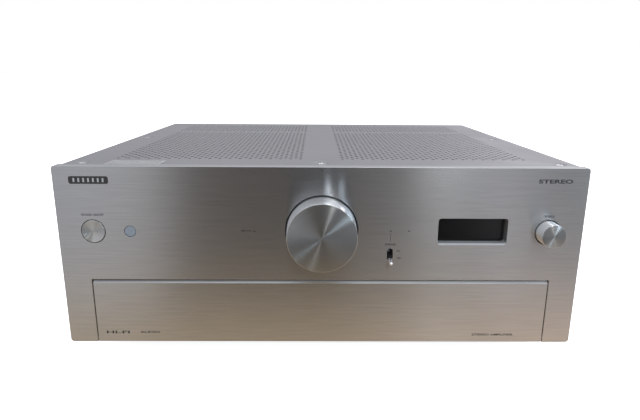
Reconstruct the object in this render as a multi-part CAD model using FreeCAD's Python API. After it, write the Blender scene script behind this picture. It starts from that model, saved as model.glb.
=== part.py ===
import FreeCAD, Part

import math
import os

from FreeCAD import Vector

# Hi-fi amplifier: a thick metal front panel on a sheet steel case, with a drop-down door over
# the seldom-used controls. Millimetres.
#
# Working frame: x from the centre line, y back from the panel's front face, z up from the
# panel's lower edge. export() moves every piece into the part's own frame, whose origin is the
# bottom centre of the whole object, with +Z up and the front towards -Y.

# ---- Driving dimensions -------------------------------------------------------------------
WIDTH = 435.0
PANEL_HEIGHT = 155.0
FOOT_HEIGHT = 20.5
DEPTH = 430.0
PANEL_THICK = 8.0
PANEL_CORNER_R = 2.8
EDGE_CHAMFER = 0.5

CASE_INSET = 3.0
CASE_DEPTH = 375.0
SIDE_THICK = 3.0
SHEET = 1.2
REAR_THICK = 1.5
BASE_THICK = 1.6
COVER_THICK = 2.0
COVER_DROP = 0.5
CASE_LIFT = 1.0
FLANGE = 15.0
END_FLANGE = 10.0
FLANGE_THICK = 2.0

DOOR_HALF_OPENING = 194.1
DOOR_OPENING_TOP = 57.8
DOOR_GAP = 1.0
DOOR_THICK = 6.0
DOOR_BOTTOM = 0.3
DOOR_CHAMFER = 2.0
HINGE_Y = 3.0
HINGE_Z = 3.0
PIN_R = 1.5
PIN_REACH = 7.0
PIN_END_GAP = 0.5
STRIKE_THICK = 0.8
STRIKE_HALF = 6.0
STRIKE_Z = (49.0, 56.0)
MAGNET_X = 150.0
MAGNET_HALF = 5.0
MAGNET_BOTTOM = 50.0
MAGNET_BACK = 14.0
MAGNET_GAP = 0.5

VOLUME_Z = 101.1
VOLUME_R = 28.35
VOLUME_REACH = 21.5
VOLUME_HOLE_R = 30.2
INPUT_X = 188.1
INPUT_Z = 100.6
INPUT_R = 9.8
INPUT_REACH = 12.5
INPUT_HOLE_R = 10.6
KNOB_BACK = 5.0
VOLUME_ENCODER = (15.0, 24.0)
INPUT_ENCODER = (8.0, 16.0)
SHAFT_R = 3.0
BUSH_R = 4.5
SHAFT_FIT = 0.02
RUN_FIT = 0.05

POWER_X = -188.4
POWER_Z = 100.3
POWER_R = 9.5
POWER_HOLE_R = 10.1
SMALL_HOLE_CHAMFER = 0.1
POWER_REACH = 0.3
POWER_STEM_R = 4.0
POWER_STEM_END = 17.0
POWER_DISH_R = 52.0
POWER_DISH_DEPTH = 0.7
POWER_SWITCH_HALF = 11.0
POWER_SWITCH_BACK = 45.0
POWER_TRAVEL = 2.5

EYE_X = -158.2
EYE_Z = 100.4
EYE_R = 4.5
EYE_HOLE_R = 4.85
EYE_SINK = 0.4
LAMPS = ((-55.8, 100.8), (57.2, 101.2), (72.5, 101.2))
LAMP_R = 0.6
LAMP_HOLE_R = 0.65
LAMP_SINK = 0.3

DISPLAY = (96.8, 154.1, 90.7, 112.1)
DISPLAY_CORNER_R = 2.0
DISPLAY_SILL = 1.2
DISPLAY_CHAMFER = 0.25
GLASS_MARGIN = 2.0
GLASS_THICK = 1.5
GLASS_FIT = 0.1
TUBE_MARGIN = 6.0
TUBE_THICK = 6.0

TOGGLE_X = 57.3
TOGGLE_Z = 81.1
TOGGLE_PIVOT_Y = 10.0
TOGGLE_REACH = 10.0
TOGGLE_TILT = 15.6
TOGGLE_SLOT_R = 2.5
TOGGLE_SLOT = (75.9, 86.3)
TOGGLE_BALL_R = 2.2
TOGGLE_ROOT_R = 1.1
TOGGLE_TIP_R = 1.5
TOGGLE_CLEARANCE_R = 3.2
TOGGLE_CASE = (4.5, 7.0)
TOGGLE_CASE_BACK = 24.0

TRAY_HALF = 196.0
TRAY_TOP = 59.5
TRAY_WALL = 1.4
TRAY_BACK = (20.0, 22.0)
ROW_Z = 30.0
JACK_X = -165.0
JACK_R = 3.25
JACK_DEPTH = 30.0
JACK_NOSE_R = 6.0
JACK_NOSE = 3.0
JACK_RING_R = 8.2
JACK_BODY_HALF = 8.0
JACK_BODY = 28.0
SPEAKER_X = -115.0
TONE_X = {"bass_knob": -60.0, "treble_knob": -15.0, "balance_knob": 30.0}
PHONO_X = 90.0
PHONO_TRAVEL = 4.0
SLIDER_HALF = (2.0, 2.5)
SLIDER_FIT = 0.15
DIMMER_X = 140.0
BUTTON_R = 4.5
BUTTON_REACH = 4.0
BUTTON_STEM_R = 1.5
BUTTON_BACK = 5.0
BUTTON_FIT = 0.1
BUTTON_TRAVEL = 1.2
TONE_R = 7.0
TONE_LENGTH = 10.0
TONE_SHAFT = 10.0
POT_HALF = 7.0
POT_THICK = 10.0
SLIDER_REACH = 3.0
SLIDER_SET_BACK = 0.3
CONTROL_BOARD_SET_BACK = 10.0

COVER_SCREWS = ((-200.5, 20.7), (200.5, 20.7), (-200.5, 200.0), (200.5, 200.0), (0.0, 22.5))
DISH_R = 6.5
DISH_FLOOR_R = 4.2
DISH_DEPTH = 1.1
SCREW_R = 1.5
SCREW_HEAD_R = 3.0
SCREW_HEAD = 1.6
COVER_SCREW_HEAD = 1.0
COVER_SCREW_REACH = 3.9
SCREW_FIT = 0.1
SHANK_FIT = 0.05
SHANK = 5.0
# The cover's perforation is drawn as one hole for four, with the same open area.
VENT_R = 3.0
VENT_PITCH = 17.8
VENT_ROW = 10.0
VENT_X = (17.0, 180.0)
VENT_BLOCKS = ((47.0, 252.0), (275.0, 341.0))

BASE_SCREW_X = 204.0
BASE_SCREW_Y = (30.0, 140.0, 250.0, 355.0)
REAR_SCREW_X = 206.5
REAR_SCREW_Z = (14.0, 77.0, 140.0)
BASE_SLOT = (4.0, 36.0)
BASE_SLOT_PITCH = 11.0
BASE_SLOT_BLOCKS = ((-150.0, -40.0), (40.0, 150.0))
BASE_SLOT_Y = (130.0, 180.0, 230.0)

FOOT_X = 165.0
FOOT_FRONT_Y = 72.0
FOOT_REAR_Y = 330.0
FOOT_TOP_R = 30.0
FOOT_LOW_R = 28.0
FOOT_BORE_R = 4.5
FOOT_SCREW_SEAT = 8.0
FOOT_SCREW_HEAD = (4.0, 2.4)
FOOT_SCREW_R = 1.95
FOOT_SCREW = 14.0
FOOT_SCREW_HOLE_R = 2.0
PAD_R = 23.0
PAD_THICK = 4.5
PAD_PROUD = 2.5

RCA_COLUMNS = (70.0, 92.0, 114.0, 136.0, 158.0, 180.0)
RCA_ROWS = (104.0, 126.0)
RCA_R = 4.15
RCA_CORE_R = 3.3
RCA_LENGTH = 9.5
RCA_HOLE_R = 1.6
RCA_FLANGE_R = 5.6
RCA_BLOCK = (8.0, 9.0, 14.0)
POST_X = {"post_cap_left_minus": 96.0, "post_cap_left_plus": 120.0,
          "post_cap_right_minus": -24.0, "post_cap_right_plus": 0.0}
POST_Z = 45.0
POST_R = 8.5
POST_LENGTH = 20.0
STUD_R = 3.95
STUD_SPACER = 1.5
COLLAR_R = 9.2
COLLAR_THICK = 6.0
WASHER_R = 8.0
WASHER_THICK = 3.0
STUD_TAIL = 10.0
STUD_SET_BACK = 0.5
CROSS_HOLE_R = 1.6
CROSS_HOLE_Y = 9.5
BANANA_R = 2.0
BANANA_DEPTH = 18.0
GROUND_X = 188.0
GROUND_Z = 80.0
GROUND_STUD_R = 1.95
GROUND_R = 5.5
GROUND_GRIP = (3.0, 11.0)
GROUND_BASE = (5.0, 1.5)
GROUND_STUD_ENDS = (6.0, 12.0)
INLET_X = -165.0
INLET_Z = 45.0
INLET_HALF_W = 13.7
INLET_HALF_H = 10.2
INLET_WALL = 1.5
INLET_RIM = 3.0
INLET_FLANGE = 2.5
INLET_BODY = 20.0
INLET_SOCKET = 15.0
INLET_CORNER_R = 2.0
INLET_PINS = ((-7.0, -2.0), (0.0, 2.0), (7.0, -2.0))
PIN_HALF = (1.0, 2.0)
PIN_ENDS = (26.0, 2.0)

CORE_X = (-170.0, -60.0)
CORE_Y = (120.0, 215.0)
CORE_LIFT = 10.0
CORE_HEIGHT = 66.0
YOKE = 17.0
COIL_BULGE = 7.0
HEATSINKS = {"heatsink_left": (12.0, -1), "heatsink_right": (50.0, 1)}
SINK_Y = (70.0, 240.0)
SINK_TOP = 110.0
SINK_WEB = 4.0
FIN_REACH = 24.0
FIN_THICK = 2.0
FINS = 14
BOARD_Z = 16.0
BOARD_THICK = 1.6
SPACER_R = 3.0
SPACER_INSET = 6.0
CAN_R = 17.5
CAN_HEIGHT = 50.0
CAN_PLACES = ((-120.0, 306.0), (-80.0, 306.0))
TRANSISTOR_THICK = 4.0
TRANSISTOR_HALF = 8.0
TRANSISTOR_Y = (110.0, 190.0)
TRANSISTOR_Z = (60.0, 84.0)
CORE_FOOT = 12.0
COIL_GAP = 1.0

# ---- Derived places -----------------------------------------------------------------------
CASE_HALF = WIDTH / 2.0 - CASE_INSET
INNER_HALF = CASE_HALF - SIDE_THICK
COVER_TOP = PANEL_HEIGHT - COVER_DROP
COVER_UNDER = COVER_TOP - COVER_THICK
REAR_INSIDE = CASE_DEPTH - REAR_THICK
CHASSIS_BACK = PANEL_THICK + SHEET
REACH_BACK = DEPTH - VOLUME_REACH
BASE_TOP = CASE_LIFT + BASE_THICK
TRAY_BOTTOM = BASE_TOP
TO_PART_FRAME = Vector(0.0, VOLUME_REACH - DEPTH / 2.0, FOOT_HEIGHT)


# ---- Helpers ------------------------------------------------------------------------------
def box(x0, x1, y0, y1, z0, z1):
    return Part.makeBox(x1 - x0, y1 - y0, z1 - z0, Vector(x0, y0, z0))


def rod_x(radius, x0, x1, y, z):
    return Part.makeCylinder(radius, x1 - x0, Vector(x0, y, z), Vector(1, 0, 0))


def rod_y(radius, y0, y1, x, z):
    return Part.makeCylinder(radius, y1 - y0, Vector(x, y0, z), Vector(0, 1, 0))


def rod_z(radius, z0, z1, x, y):
    return Part.makeCylinder(radius, z1 - z0, Vector(x, y, z0), Vector(0, 0, 1))


def lathe_y(profile, x, z):
    """Turn a closed (radius, y) outline about the line along Y through (x, z)."""
    points = [Vector(x + radius, y, z) for radius, y in profile]
    wire = Part.makePolygon(points + [points[0]])
    return Part.Face(wire).revolve(Vector(x, 0, z), Vector(0, 1, 0), 360)


def lathe_z(profile, x, y):
    """Turn a closed (radius, z) outline about the upright line through (x, y)."""
    points = [Vector(x + radius, y, z) for radius, z in profile]
    wire = Part.makePolygon(points + [points[0]])
    return Part.Face(wire).revolve(Vector(x, y, 0), Vector(0, 0, 1), 360)


def rounded_wire(x0, x1, z0, z1, radius, y):
    """Rectangle with round corners in the upright plane at depth y."""
    centres = ((x1 - radius, z1 - radius, 0), (x0 + radius, z1 - radius, 90),
               (x0 + radius, z0 + radius, 180), (x1 - radius, z0 + radius, 270))
    arcs = []
    for cx, cz, start in centres:
        turns = [math.radians(start + turn) for turn in (0, 45, 90)]
        arcs.append([Vector(cx + radius * math.cos(t), y, cz + radius * math.sin(t)) for t in turns])
    edges = []
    for index, arc in enumerate(arcs):
        following = arcs[(index + 1) % len(arcs)]
        edges.append(Part.Arc(*arc).toShape())
        edges.append(Part.LineSegment(arc[2], following[0]).toShape())
    return Part.Wire(edges)


def rounded_plate(x0, x1, z0, z1, radius, y0, y1):
    return Part.Face(rounded_wire(x0, x1, z0, z1, radius, y0)).extrude(Vector(0, y1 - y0, 0))


def chamfered_hole(radius, x, z, chamfer):
    """Cutter for a round hole through the front panel with a broken front edge."""
    through = rod_y(radius, -1.0, PANEL_THICK + 1.0, x, z)
    lip = lathe_y(((0, -1.0), (radius + chamfer + 1.0, -1.0), (radius, chamfer), (0, chamfer)), x, z)
    return through.fuse(lip)


def hex_nut(across, y0, y1, x, z):
    corner_r = across / math.sqrt(3.0)
    turns = [math.radians(60 * k) for k in range(7)]
    points = [Vector(x + corner_r * math.cos(t), y0, z + corner_r * math.sin(t)) for t in turns]
    return Part.Face(Part.makePolygon(points)).extrude(Vector(0, y1 - y0, 0))


def screw(place, direction, head_r, head, shank_r, shank):
    """Pan-head screw: place is the middle of the head's underside, direction points to its tip."""
    drive = Part.makeCylinder(head_r * 0.45, head * 0.5, place - direction * head, direction)
    cap = Part.makeCylinder(head_r, head, place - direction * head, direction)
    rim = [edge for edge in cap.Edges if (edge.CenterOfMass - (place - direction * head)).Length < 0.01]
    cap = cap.makeFillet(head * 0.4, rim[:1])
    return cap.cut(drive).fuse(Part.makeCylinder(shank_r, shank, place, direction)).removeSplitter()


def fuse_all(shapes):
    return shapes[0].multiFuse(shapes[1:]).removeSplitter()


def export(node, *solids):
    """Write the solids of one node, moved into the part's own frame."""
    placed = []
    for solid in solids:
        for piece in solid.Solids:
            moved = piece.copy()
            moved.translate(TO_PART_FRAME)
            placed.append(moved)
    shape = placed[0] if len(placed) == 1 else Part.makeCompound(placed)
    shape.exportStep("parts/" + node + ".step")


# ---- Front panel, its windows and lamps ---------------------------------------------------
def front_panel():
    half = WIDTH / 2.0
    plate = rounded_plate(-half, half, 0.0, PANEL_HEIGHT, PANEL_CORNER_R, 0.0, PANEL_THICK)
    plate = plate.cut(box(-DOOR_HALF_OPENING, DOOR_HALF_OPENING, -1.0, PANEL_THICK + 1.0,
                          -1.0, DOOR_OPENING_TOP))
    front_edges = [edge for edge in plate.Edges if edge.BoundBox.YMax < 0.01]
    plate = plate.makeChamfer(EDGE_CHAMFER, front_edges)
    cutters = [chamfered_hole(VOLUME_HOLE_R, 0.0, VOLUME_Z, EDGE_CHAMFER),
               chamfered_hole(INPUT_HOLE_R, INPUT_X, INPUT_Z, EDGE_CHAMFER),
               chamfered_hole(POWER_HOLE_R, POWER_X, POWER_Z, SMALL_HOLE_CHAMFER),
               chamfered_hole(EYE_HOLE_R, EYE_X, EYE_Z, SMALL_HOLE_CHAMFER)]
    for x, z in LAMPS:
        cutters.append(rod_y(LAMP_HOLE_R, -1.0, PANEL_THICK + 1.0, x, z))
    cutters.append(rounded_plate(TOGGLE_X - TOGGLE_SLOT_R, TOGGLE_X + TOGGLE_SLOT_R, *TOGGLE_SLOT,
                                 TOGGLE_SLOT_R - 0.01, -1.0, PANEL_THICK + 1.0))
    x0, x1, z0, z1 = DISPLAY
    c, sill = DISPLAY_CHAMFER, DISPLAY_SILL
    cutters.append(rounded_plate(x0, x1, z0, z1, DISPLAY_CORNER_R, -1.0, PANEL_THICK + 1.0))
    wide = rounded_wire(x0 - c, x1 + c, z0 - sill, z1 + c, DISPLAY_CORNER_R + c, 0.0)
    cutters.append(Part.makeLoft([wide, rounded_wire(x0, x1, z0, z1, DISPLAY_CORNER_R, sill)], True, True))
    for side in (-1, 1):
        inner, outer = sorted((side * DOOR_HALF_OPENING, side * (DOOR_HALF_OPENING + PIN_REACH)))
        cutters.append(rod_x(PIN_R, inner, outer, HINGE_Y, HINGE_Z))
    return plate.cut(fuse_all(cutters))


def display_glass():
    x0, x1, z0, z1 = DISPLAY
    m = GLASS_MARGIN
    return box(x0 - m, x1 + m, PANEL_THICK, PANEL_THICK + GLASS_THICK, z0 - m, z1 + m)


def display_module():
    x0, x1, z0, z1 = DISPLAY
    m = TUBE_MARGIN
    front = PANEL_THICK + GLASS_THICK
    back = front + TUBE_THICK
    tube = box(x0 - m, x1 + m, front, back, z0 - m, z1 + m)
    board = box(x0 - 2.0 * m, x1 + 2.0 * m, back, back + BOARD_THICK, z0 - m - 4.0, z1 + m + 4.0)
    return tube.fuse(board)


def indicator_lenses():
    return [rod_y(LAMP_R, LAMP_SINK, PANEL_THICK, x, z) for x, z in LAMPS]


# ---- Case ---------------------------------------------------------------------------------
def front_chassis():
    """Sheet behind the panel, with a top flange for the cover's middle screw."""
    sheet = box(-INNER_HALF, INNER_HALF, PANEL_THICK, CHASSIS_BACK, BASE_TOP, COVER_UNDER)
    flange = box(-180.0, 180.0, CHASSIS_BACK, CHASSIS_BACK + 26.0, COVER_UNDER - SHEET, COVER_UNDER)
    x0, x1, z0, z1 = DISPLAY
    m = GLASS_MARGIN + GLASS_FIT
    front = PANEL_THICK - 1.0
    back = CHASSIS_BACK + 1.0
    cutters = [box(-TRAY_HALF, TRAY_HALF, front, back, 0.0, TRAY_TOP),
               box(x0 - m, x1 + m, front, back, z0 - m, z1 + m),
               rod_y(BUSH_R, front, back, 0.0, VOLUME_Z),
               rod_y(BUSH_R, front, back, INPUT_X, INPUT_Z),
               rod_y(POWER_STEM_R + 0.5, front, back, POWER_X, POWER_Z),
               rod_y(EYE_R - 1.5, front, back, EYE_X, EYE_Z),
               rod_y(TOGGLE_CLEARANCE_R, front, back, TOGGLE_X, TOGGLE_Z)]
    x, y = COVER_SCREWS[4]
    cutters.append(rod_z(SCREW_R, COVER_UNDER - 2.0 * SHEET, COVER_UNDER + 1.0, x, y))
    return sheet.fuse(flange).removeSplitter().cut(fuse_all(cutters))


def top_cover():
    outline = [Vector(-CASE_HALF, PANEL_THICK, COVER_UNDER), Vector(CASE_HALF, PANEL_THICK, COVER_UNDER),
               Vector(CASE_HALF, CASE_DEPTH, COVER_UNDER), Vector(-CASE_HALF, CASE_DEPTH, COVER_UNDER)]
    wires = [Part.makePolygon(outline + outline[:1])]
    for first, last in VENT_BLOCKS:
        for row in range(int((last - first) / VENT_ROW) + 1):
            offset = VENT_PITCH / 2.0 if row % 2 else 0.0
            count = int((VENT_X[1] - VENT_X[0] - offset) / VENT_PITCH) + 1
            for column in range(count):
                for side in (-1, 1):
                    x = side * (VENT_X[0] + VENT_R + offset + column * VENT_PITCH)
                    centre = Vector(x, first + row * VENT_ROW, COVER_UNDER)
                    wires.append(Part.Wire(Part.makeCircle(VENT_R, centre, Vector(0, 0, -1))))
    plate = Part.Face(wires).extrude(Vector(0, 0, COVER_THICK))
    long_edges = [edge for edge in plate.Edges
                  if edge.BoundBox.YLength > 300.0 and edge.BoundBox.ZMin > COVER_TOP - 0.01]
    plate = plate.makeFillet(1.5, long_edges)
    cutters = []
    for x, y in COVER_SCREWS:
        dish = ((0, COVER_TOP + 1.0), (DISH_R, COVER_TOP + 1.0), (DISH_R, COVER_TOP),
                (DISH_FLOOR_R, COVER_TOP - DISH_DEPTH), (0, COVER_TOP - DISH_DEPTH))
        hole = rod_z(SCREW_R + SCREW_FIT, COVER_UNDER - 1.0, COVER_TOP, x, y)
        cutters.append(lathe_z(dish, x, y).fuse(hole))
    return plate.cut(cutters)


def side_panel(side):
    """Folded side: an upright sheet with flanges along all four edges."""
    y0 = PANEL_THICK
    z0 = CASE_LIFT
    sheet = box(INNER_HALF, CASE_HALF, y0, REAR_INSIDE, z0, COVER_UNDER)
    inner = INNER_HALF - FLANGE
    t = FLANGE_THICK
    front = CHASSIS_BACK
    end = INNER_HALF - END_FLANGE
    flanges = [box(inner, INNER_HALF, front, REAR_INSIDE, COVER_UNDER - t, COVER_UNDER),
               box(inner, INNER_HALF, front, REAR_INSIDE, BASE_TOP, BASE_TOP + t),
               box(end, INNER_HALF, front, front + t, BASE_TOP, COVER_UNDER),
               box(end, INNER_HALF, REAR_INSIDE - t, REAR_INSIDE, BASE_TOP, COVER_UNDER)]
    panel = fuse_all([sheet] + flanges)
    holes = []
    for x, y in COVER_SCREWS:
        if x > 0:
            holes.append(rod_z(SCREW_R, COVER_UNDER - t - 1.0, COVER_UNDER + 1.0, x, y))
    for y in BASE_SCREW_Y:
        holes.append(rod_z(SCREW_R, BASE_TOP - 1.0, BASE_TOP + t + 1.0, BASE_SCREW_X, y))
    for z in REAR_SCREW_Z:
        holes.append(rod_y(SCREW_R, REAR_INSIDE - t - 1.0, REAR_INSIDE + 1.0, REAR_SCREW_X, z))
    panel = panel.cut(fuse_all(holes))
    return panel if side > 0 else panel.mirror(Vector(0, 0, 0), Vector(1, 0, 0))


def bottom_plate():
    plate = box(-INNER_HALF, INNER_HALF, PANEL_THICK, REAR_INSIDE, CASE_LIFT, BASE_TOP)
    cutters = []
    for side in (-1, 1):
        for y in BASE_SCREW_Y:
            cutters.append(rod_z(SCREW_R + SCREW_FIT, CASE_LIFT - 1.0, BASE_TOP + 1.0,
                                 side * BASE_SCREW_X, y))
        for y in (FOOT_FRONT_Y, FOOT_REAR_Y):
            cutters.append(rod_z(FOOT_SCREW_HOLE_R, CASE_LIFT - 1.0, BASE_TOP + 1.0, side * FOOT_X, y))
    slot_width, slot_length = BASE_SLOT
    for first, last in BASE_SLOT_BLOCKS:
        for column in range(int((last - first) / BASE_SLOT_PITCH) + 1):
            x = first + column * BASE_SLOT_PITCH
            for y in BASE_SLOT_Y:
                cutters.append(box(x, x + slot_width, y, y + slot_length, CASE_LIFT - 1.0, BASE_TOP + 1.0))
    return plate.cut(cutters)


def rear_panel():
    sheet = box(-CASE_HALF, CASE_HALF, REAR_INSIDE, CASE_DEPTH, CASE_LIFT, COVER_UNDER)
    y0 = REAR_INSIDE - 1.0
    y1 = CASE_DEPTH + 1.0
    cutters = [rod_y(RCA_R, y0, y1, x, z) for x in RCA_COLUMNS for z in RCA_ROWS]
    cutters += [rod_y(STUD_R + STUD_SPACER, y0, y1, x, POST_Z) for x in POST_X.values()]
    cutters.append(rod_y(GROUND_STUD_R, y0, y1, GROUND_X, GROUND_Z))
    cutters.append(box(INLET_X - INLET_HALF_W, INLET_X + INLET_HALF_W, y0, y1,
                       INLET_Z - INLET_HALF_H, INLET_Z + INLET_HALF_H))
    for side in (-1, 1):
        for z in REAR_SCREW_Z:
            cutters.append(rod_y(SCREW_R + SCREW_FIT, y0, y1, side * REAR_SCREW_X, z))
    return sheet.cut(cutters)


def case_screws():
    down = Vector(0, 0, -1)
    forward = Vector(0, -1, 0)
    seat = COVER_TOP - DISH_DEPTH
    shank_r = SCREW_R - SHANK_FIT
    screws = [screw(Vector(x, y, seat), down, SCREW_HEAD_R, COVER_SCREW_HEAD, shank_r,
                    COVER_SCREW_REACH - DISH_DEPTH) for x, y in COVER_SCREWS]
    for side in (-1, 1):
        for z in REAR_SCREW_Z:
            place = Vector(side * REAR_SCREW_X, CASE_DEPTH, z)
            screws.append(screw(place, forward, SCREW_HEAD_R, SCREW_HEAD, shank_r, SHANK))
    return screws


def base_screws():
    """Screws into the side flanges, and one up through each foot."""
    up = Vector(0, 0, 1)
    screws = []
    for side in (-1, 1):
        for y in BASE_SCREW_Y:
            place = Vector(side * BASE_SCREW_X, y, CASE_LIFT)
            screws.append(screw(place, up, SCREW_HEAD_R, SCREW_HEAD, SCREW_R - SHANK_FIT, SHANK))
        for y in (FOOT_FRONT_Y, FOOT_REAR_Y):
            place = Vector(side * FOOT_X, y, CASE_LIFT - FOOT_SCREW_SEAT)
            screws.append(screw(place, up, *FOOT_SCREW_HEAD, FOOT_SCREW_R, FOOT_SCREW))
    return screws


# ---- Feet ---------------------------------------------------------------------------------
def foot(x, y):
    """Turned foot with a recess below for the pad and a counterbore for its screw."""
    low = PAD_PROUD - FOOT_HEIGHT
    pad_seat = PAD_THICK - FOOT_HEIGHT
    screw_seat = CASE_LIFT - FOOT_SCREW_SEAT
    profile = ((FOOT_SCREW_R, CASE_LIFT), (FOOT_TOP_R - 1.0, CASE_LIFT), (FOOT_TOP_R, CASE_LIFT - 1.0),
               (FOOT_LOW_R, low + 1.0), (FOOT_LOW_R - 1.0, low), (PAD_R, low), (PAD_R, pad_seat),
               (FOOT_BORE_R, pad_seat), (FOOT_BORE_R, screw_seat), (FOOT_SCREW_R, screw_seat))
    return lathe_z(profile, x, y)


def foot_pads():
    bottom = -FOOT_HEIGHT
    profile = ((0, bottom), (PAD_R - 1.5, bottom), (PAD_R, bottom + 1.0),
               (PAD_R, bottom + PAD_THICK), (0, bottom + PAD_THICK))
    return [lathe_z(profile, x, y) for x in (-FOOT_X, FOOT_X) for y in (FOOT_FRONT_Y, FOOT_REAR_Y)]


# ---- Door ---------------------------------------------------------------------------------
def door():
    half = DOOR_HALF_OPENING - DOOR_GAP
    top = DOOR_OPENING_TOP - DOOR_GAP
    plate = box(-half, half, 0.0, DOOR_THICK, DOOR_BOTTOM, top)
    top_front = [edge for edge in plate.Edges
                 if edge.BoundBox.YMax < 0.01 and edge.BoundBox.ZMin > top - 0.01]
    plate = plate.makeChamfer(DOOR_CHAMFER, top_front)
    low_front = [edge for edge in plate.Edges
                 if edge.BoundBox.YMax < 0.01 and edge.BoundBox.ZMax < DOOR_BOTTOM + 0.01]
    plate = plate.makeChamfer(EDGE_CHAMFER, low_front)
    depth = PIN_REACH - DOOR_GAP + PIN_END_GAP
    cutters = [rod_x(PIN_R + RUN_FIT, half - depth, half + 1.0, HINGE_Y, HINGE_Z),
               rod_x(PIN_R + RUN_FIT, -half - 1.0, depth - half, HINGE_Y, HINGE_Z)]
    for side in (-1, 1):
        x = side * MAGNET_X
        cutters.append(box(x - STRIKE_HALF, x + STRIKE_HALF, DOOR_THICK - STRIKE_THICK, DOOR_THICK + 1.0,
                           *STRIKE_Z))
    return plate.cut(cutters)


def door_hinge_pins():
    reach = DOOR_HALF_OPENING + PIN_REACH
    start = DOOR_HALF_OPENING - PIN_REACH
    return [rod_x(PIN_R, start, reach, HINGE_Y, HINGE_Z), rod_x(PIN_R, -reach, -start, HINGE_Y, HINGE_Z)]


def door_strikes():
    return [box(x - STRIKE_HALF, x + STRIKE_HALF, DOOR_THICK - STRIKE_THICK, DOOR_THICK, *STRIKE_Z)
            for x in (-MAGNET_X, MAGNET_X)]


def door_magnets():
    front = DOOR_THICK + MAGNET_GAP
    return [box(x - MAGNET_HALF, x + MAGNET_HALF, front, MAGNET_BACK, MAGNET_BOTTOM, DOOR_OPENING_TOP)
            for x in (-MAGNET_X, MAGNET_X)]


# ---- Controls behind the door -------------------------------------------------------------
def control_tray():
    """Shallow box, open to the front, that carries the controls behind the door."""
    inner = TRAY_HALF - TRAY_WALL
    shell = box(-TRAY_HALF, TRAY_HALF, PANEL_THICK, TRAY_BACK[1], TRAY_BOTTOM, TRAY_TOP)
    hollow = box(-inner, inner, PANEL_THICK - 1.0, TRAY_BACK[0], TRAY_BOTTOM + TRAY_WALL,
                 TRAY_TOP - TRAY_WALL)
    y0 = TRAY_BACK[0] - 1.0
    y1 = TRAY_BACK[1] + 1.0
    cutters = [hollow, rod_y(JACK_NOSE_R, y0, y1, JACK_X, ROW_Z)]
    cutters += [rod_y(BUTTON_R + BUTTON_FIT, y0, y1, x, ROW_Z) for x in (SPEAKER_X, DIMMER_X)]
    cutters += [rod_y(BUSH_R, y0, y1, x, ROW_Z) for x in TONE_X.values()]
    slot_x = SLIDER_HALF[0] + PHONO_TRAVEL / 2.0 + SLIDER_FIT
    slot_z = SLIDER_HALF[1] + SLIDER_FIT
    cutters.append(box(PHONO_X - slot_x, PHONO_X + slot_x, y0, y1, ROW_Z - slot_z, ROW_Z + slot_z))
    return shell.cut(fuse_all(cutters))


def headphone_jack():
    """Socket body behind the tray, its threaded nose and ring, and the plug's bore."""
    back = TRAY_BACK[1]
    mouth = TRAY_BACK[0] - JACK_NOSE
    half = JACK_BODY_HALF
    body = box(JACK_X - half, JACK_X + half, back, back + JACK_BODY, ROW_Z - half, ROW_Z + half)
    nose = rod_y(JACK_NOSE_R, mouth, back, JACK_X, ROW_Z)
    ring = lathe_y(((0, mouth + 0.6), (JACK_RING_R - 0.6, mouth + 0.6), (JACK_RING_R, mouth + 1.2),
                    (JACK_RING_R, TRAY_BACK[0]), (0, TRAY_BACK[0])), JACK_X, ROW_Z)
    bore = rod_y(JACK_R, mouth - 1.0, mouth + JACK_DEPTH, JACK_X, ROW_Z)
    return fuse_all([body, nose, ring]).cut(bore)


def tray_button(x):
    front = TRAY_BACK[0] - BUTTON_REACH
    cap = rod_y(BUTTON_R, front, TRAY_BACK[1] + 1.0, x, ROW_Z)
    rim = [edge for edge in cap.Edges if edge.BoundBox.YMax < front + 0.01]
    cap = cap.makeFillet(0.6, rim)
    stem = rod_y(BUTTON_STEM_R, TRAY_BACK[1] + 1.0, TRAY_BACK[1] + BUTTON_BACK, x, ROW_Z)
    return cap.fuse(stem).removeSplitter()


def tone_knob(x):
    """Small knob with a pointer notch, moulded in one with its spindle."""
    back = TRAY_BACK[0] - 0.5
    front = back - TONE_LENGTH
    profile = ((0, front), (TONE_R - 0.8, front), (TONE_R, front + 0.8), (TONE_R, back),
               (SHAFT_R, back), (SHAFT_R, back + TONE_SHAFT), (0, back + TONE_SHAFT))
    notch = box(x - 0.5, x + 0.5, front - 1.0, front + 0.5, ROW_Z + 1.5, ROW_Z + TONE_R + 1.0)
    return lathe_y(profile, x, ROW_Z).cut(notch)


def tone_pots():
    """Potentiometers: a bush through the tray and a case behind it."""
    pots = []
    for x in TONE_X.values():
        bush = rod_y(BUSH_R, TRAY_BACK[0], TRAY_BACK[1], x, ROW_Z)
        case = box(x - POT_HALF, x + POT_HALF, TRAY_BACK[1], TRAY_BACK[1] + POT_THICK,
                   ROW_Z - POT_HALF, ROW_Z + POT_HALF)
        bore = rod_y(SHAFT_R + RUN_FIT, TRAY_BACK[0] - 1.0, TRAY_BACK[0] + TONE_SHAFT + 0.5, x, ROW_Z)
        pots.append(bush.fuse(case).removeSplitter().cut(bore))
    return pots


def phono_slider():
    """Slide switch thumb, at the left end of its travel."""
    x = PHONO_X - PHONO_TRAVEL / 2.0
    half_x, half_z = SLIDER_HALF
    seat = TRAY_BACK[1] + SLIDER_SET_BACK
    thumb = box(x - half_x, x + half_x, TRAY_BACK[0] - SLIDER_REACH, seat, ROW_Z - half_z, ROW_Z + half_z)
    flange = box(x - 6.0, x + 6.0, seat, seat + 1.2, ROW_Z - 4.0, ROW_Z + 4.0)
    return thumb.fuse(flange).removeSplitter()


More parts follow.
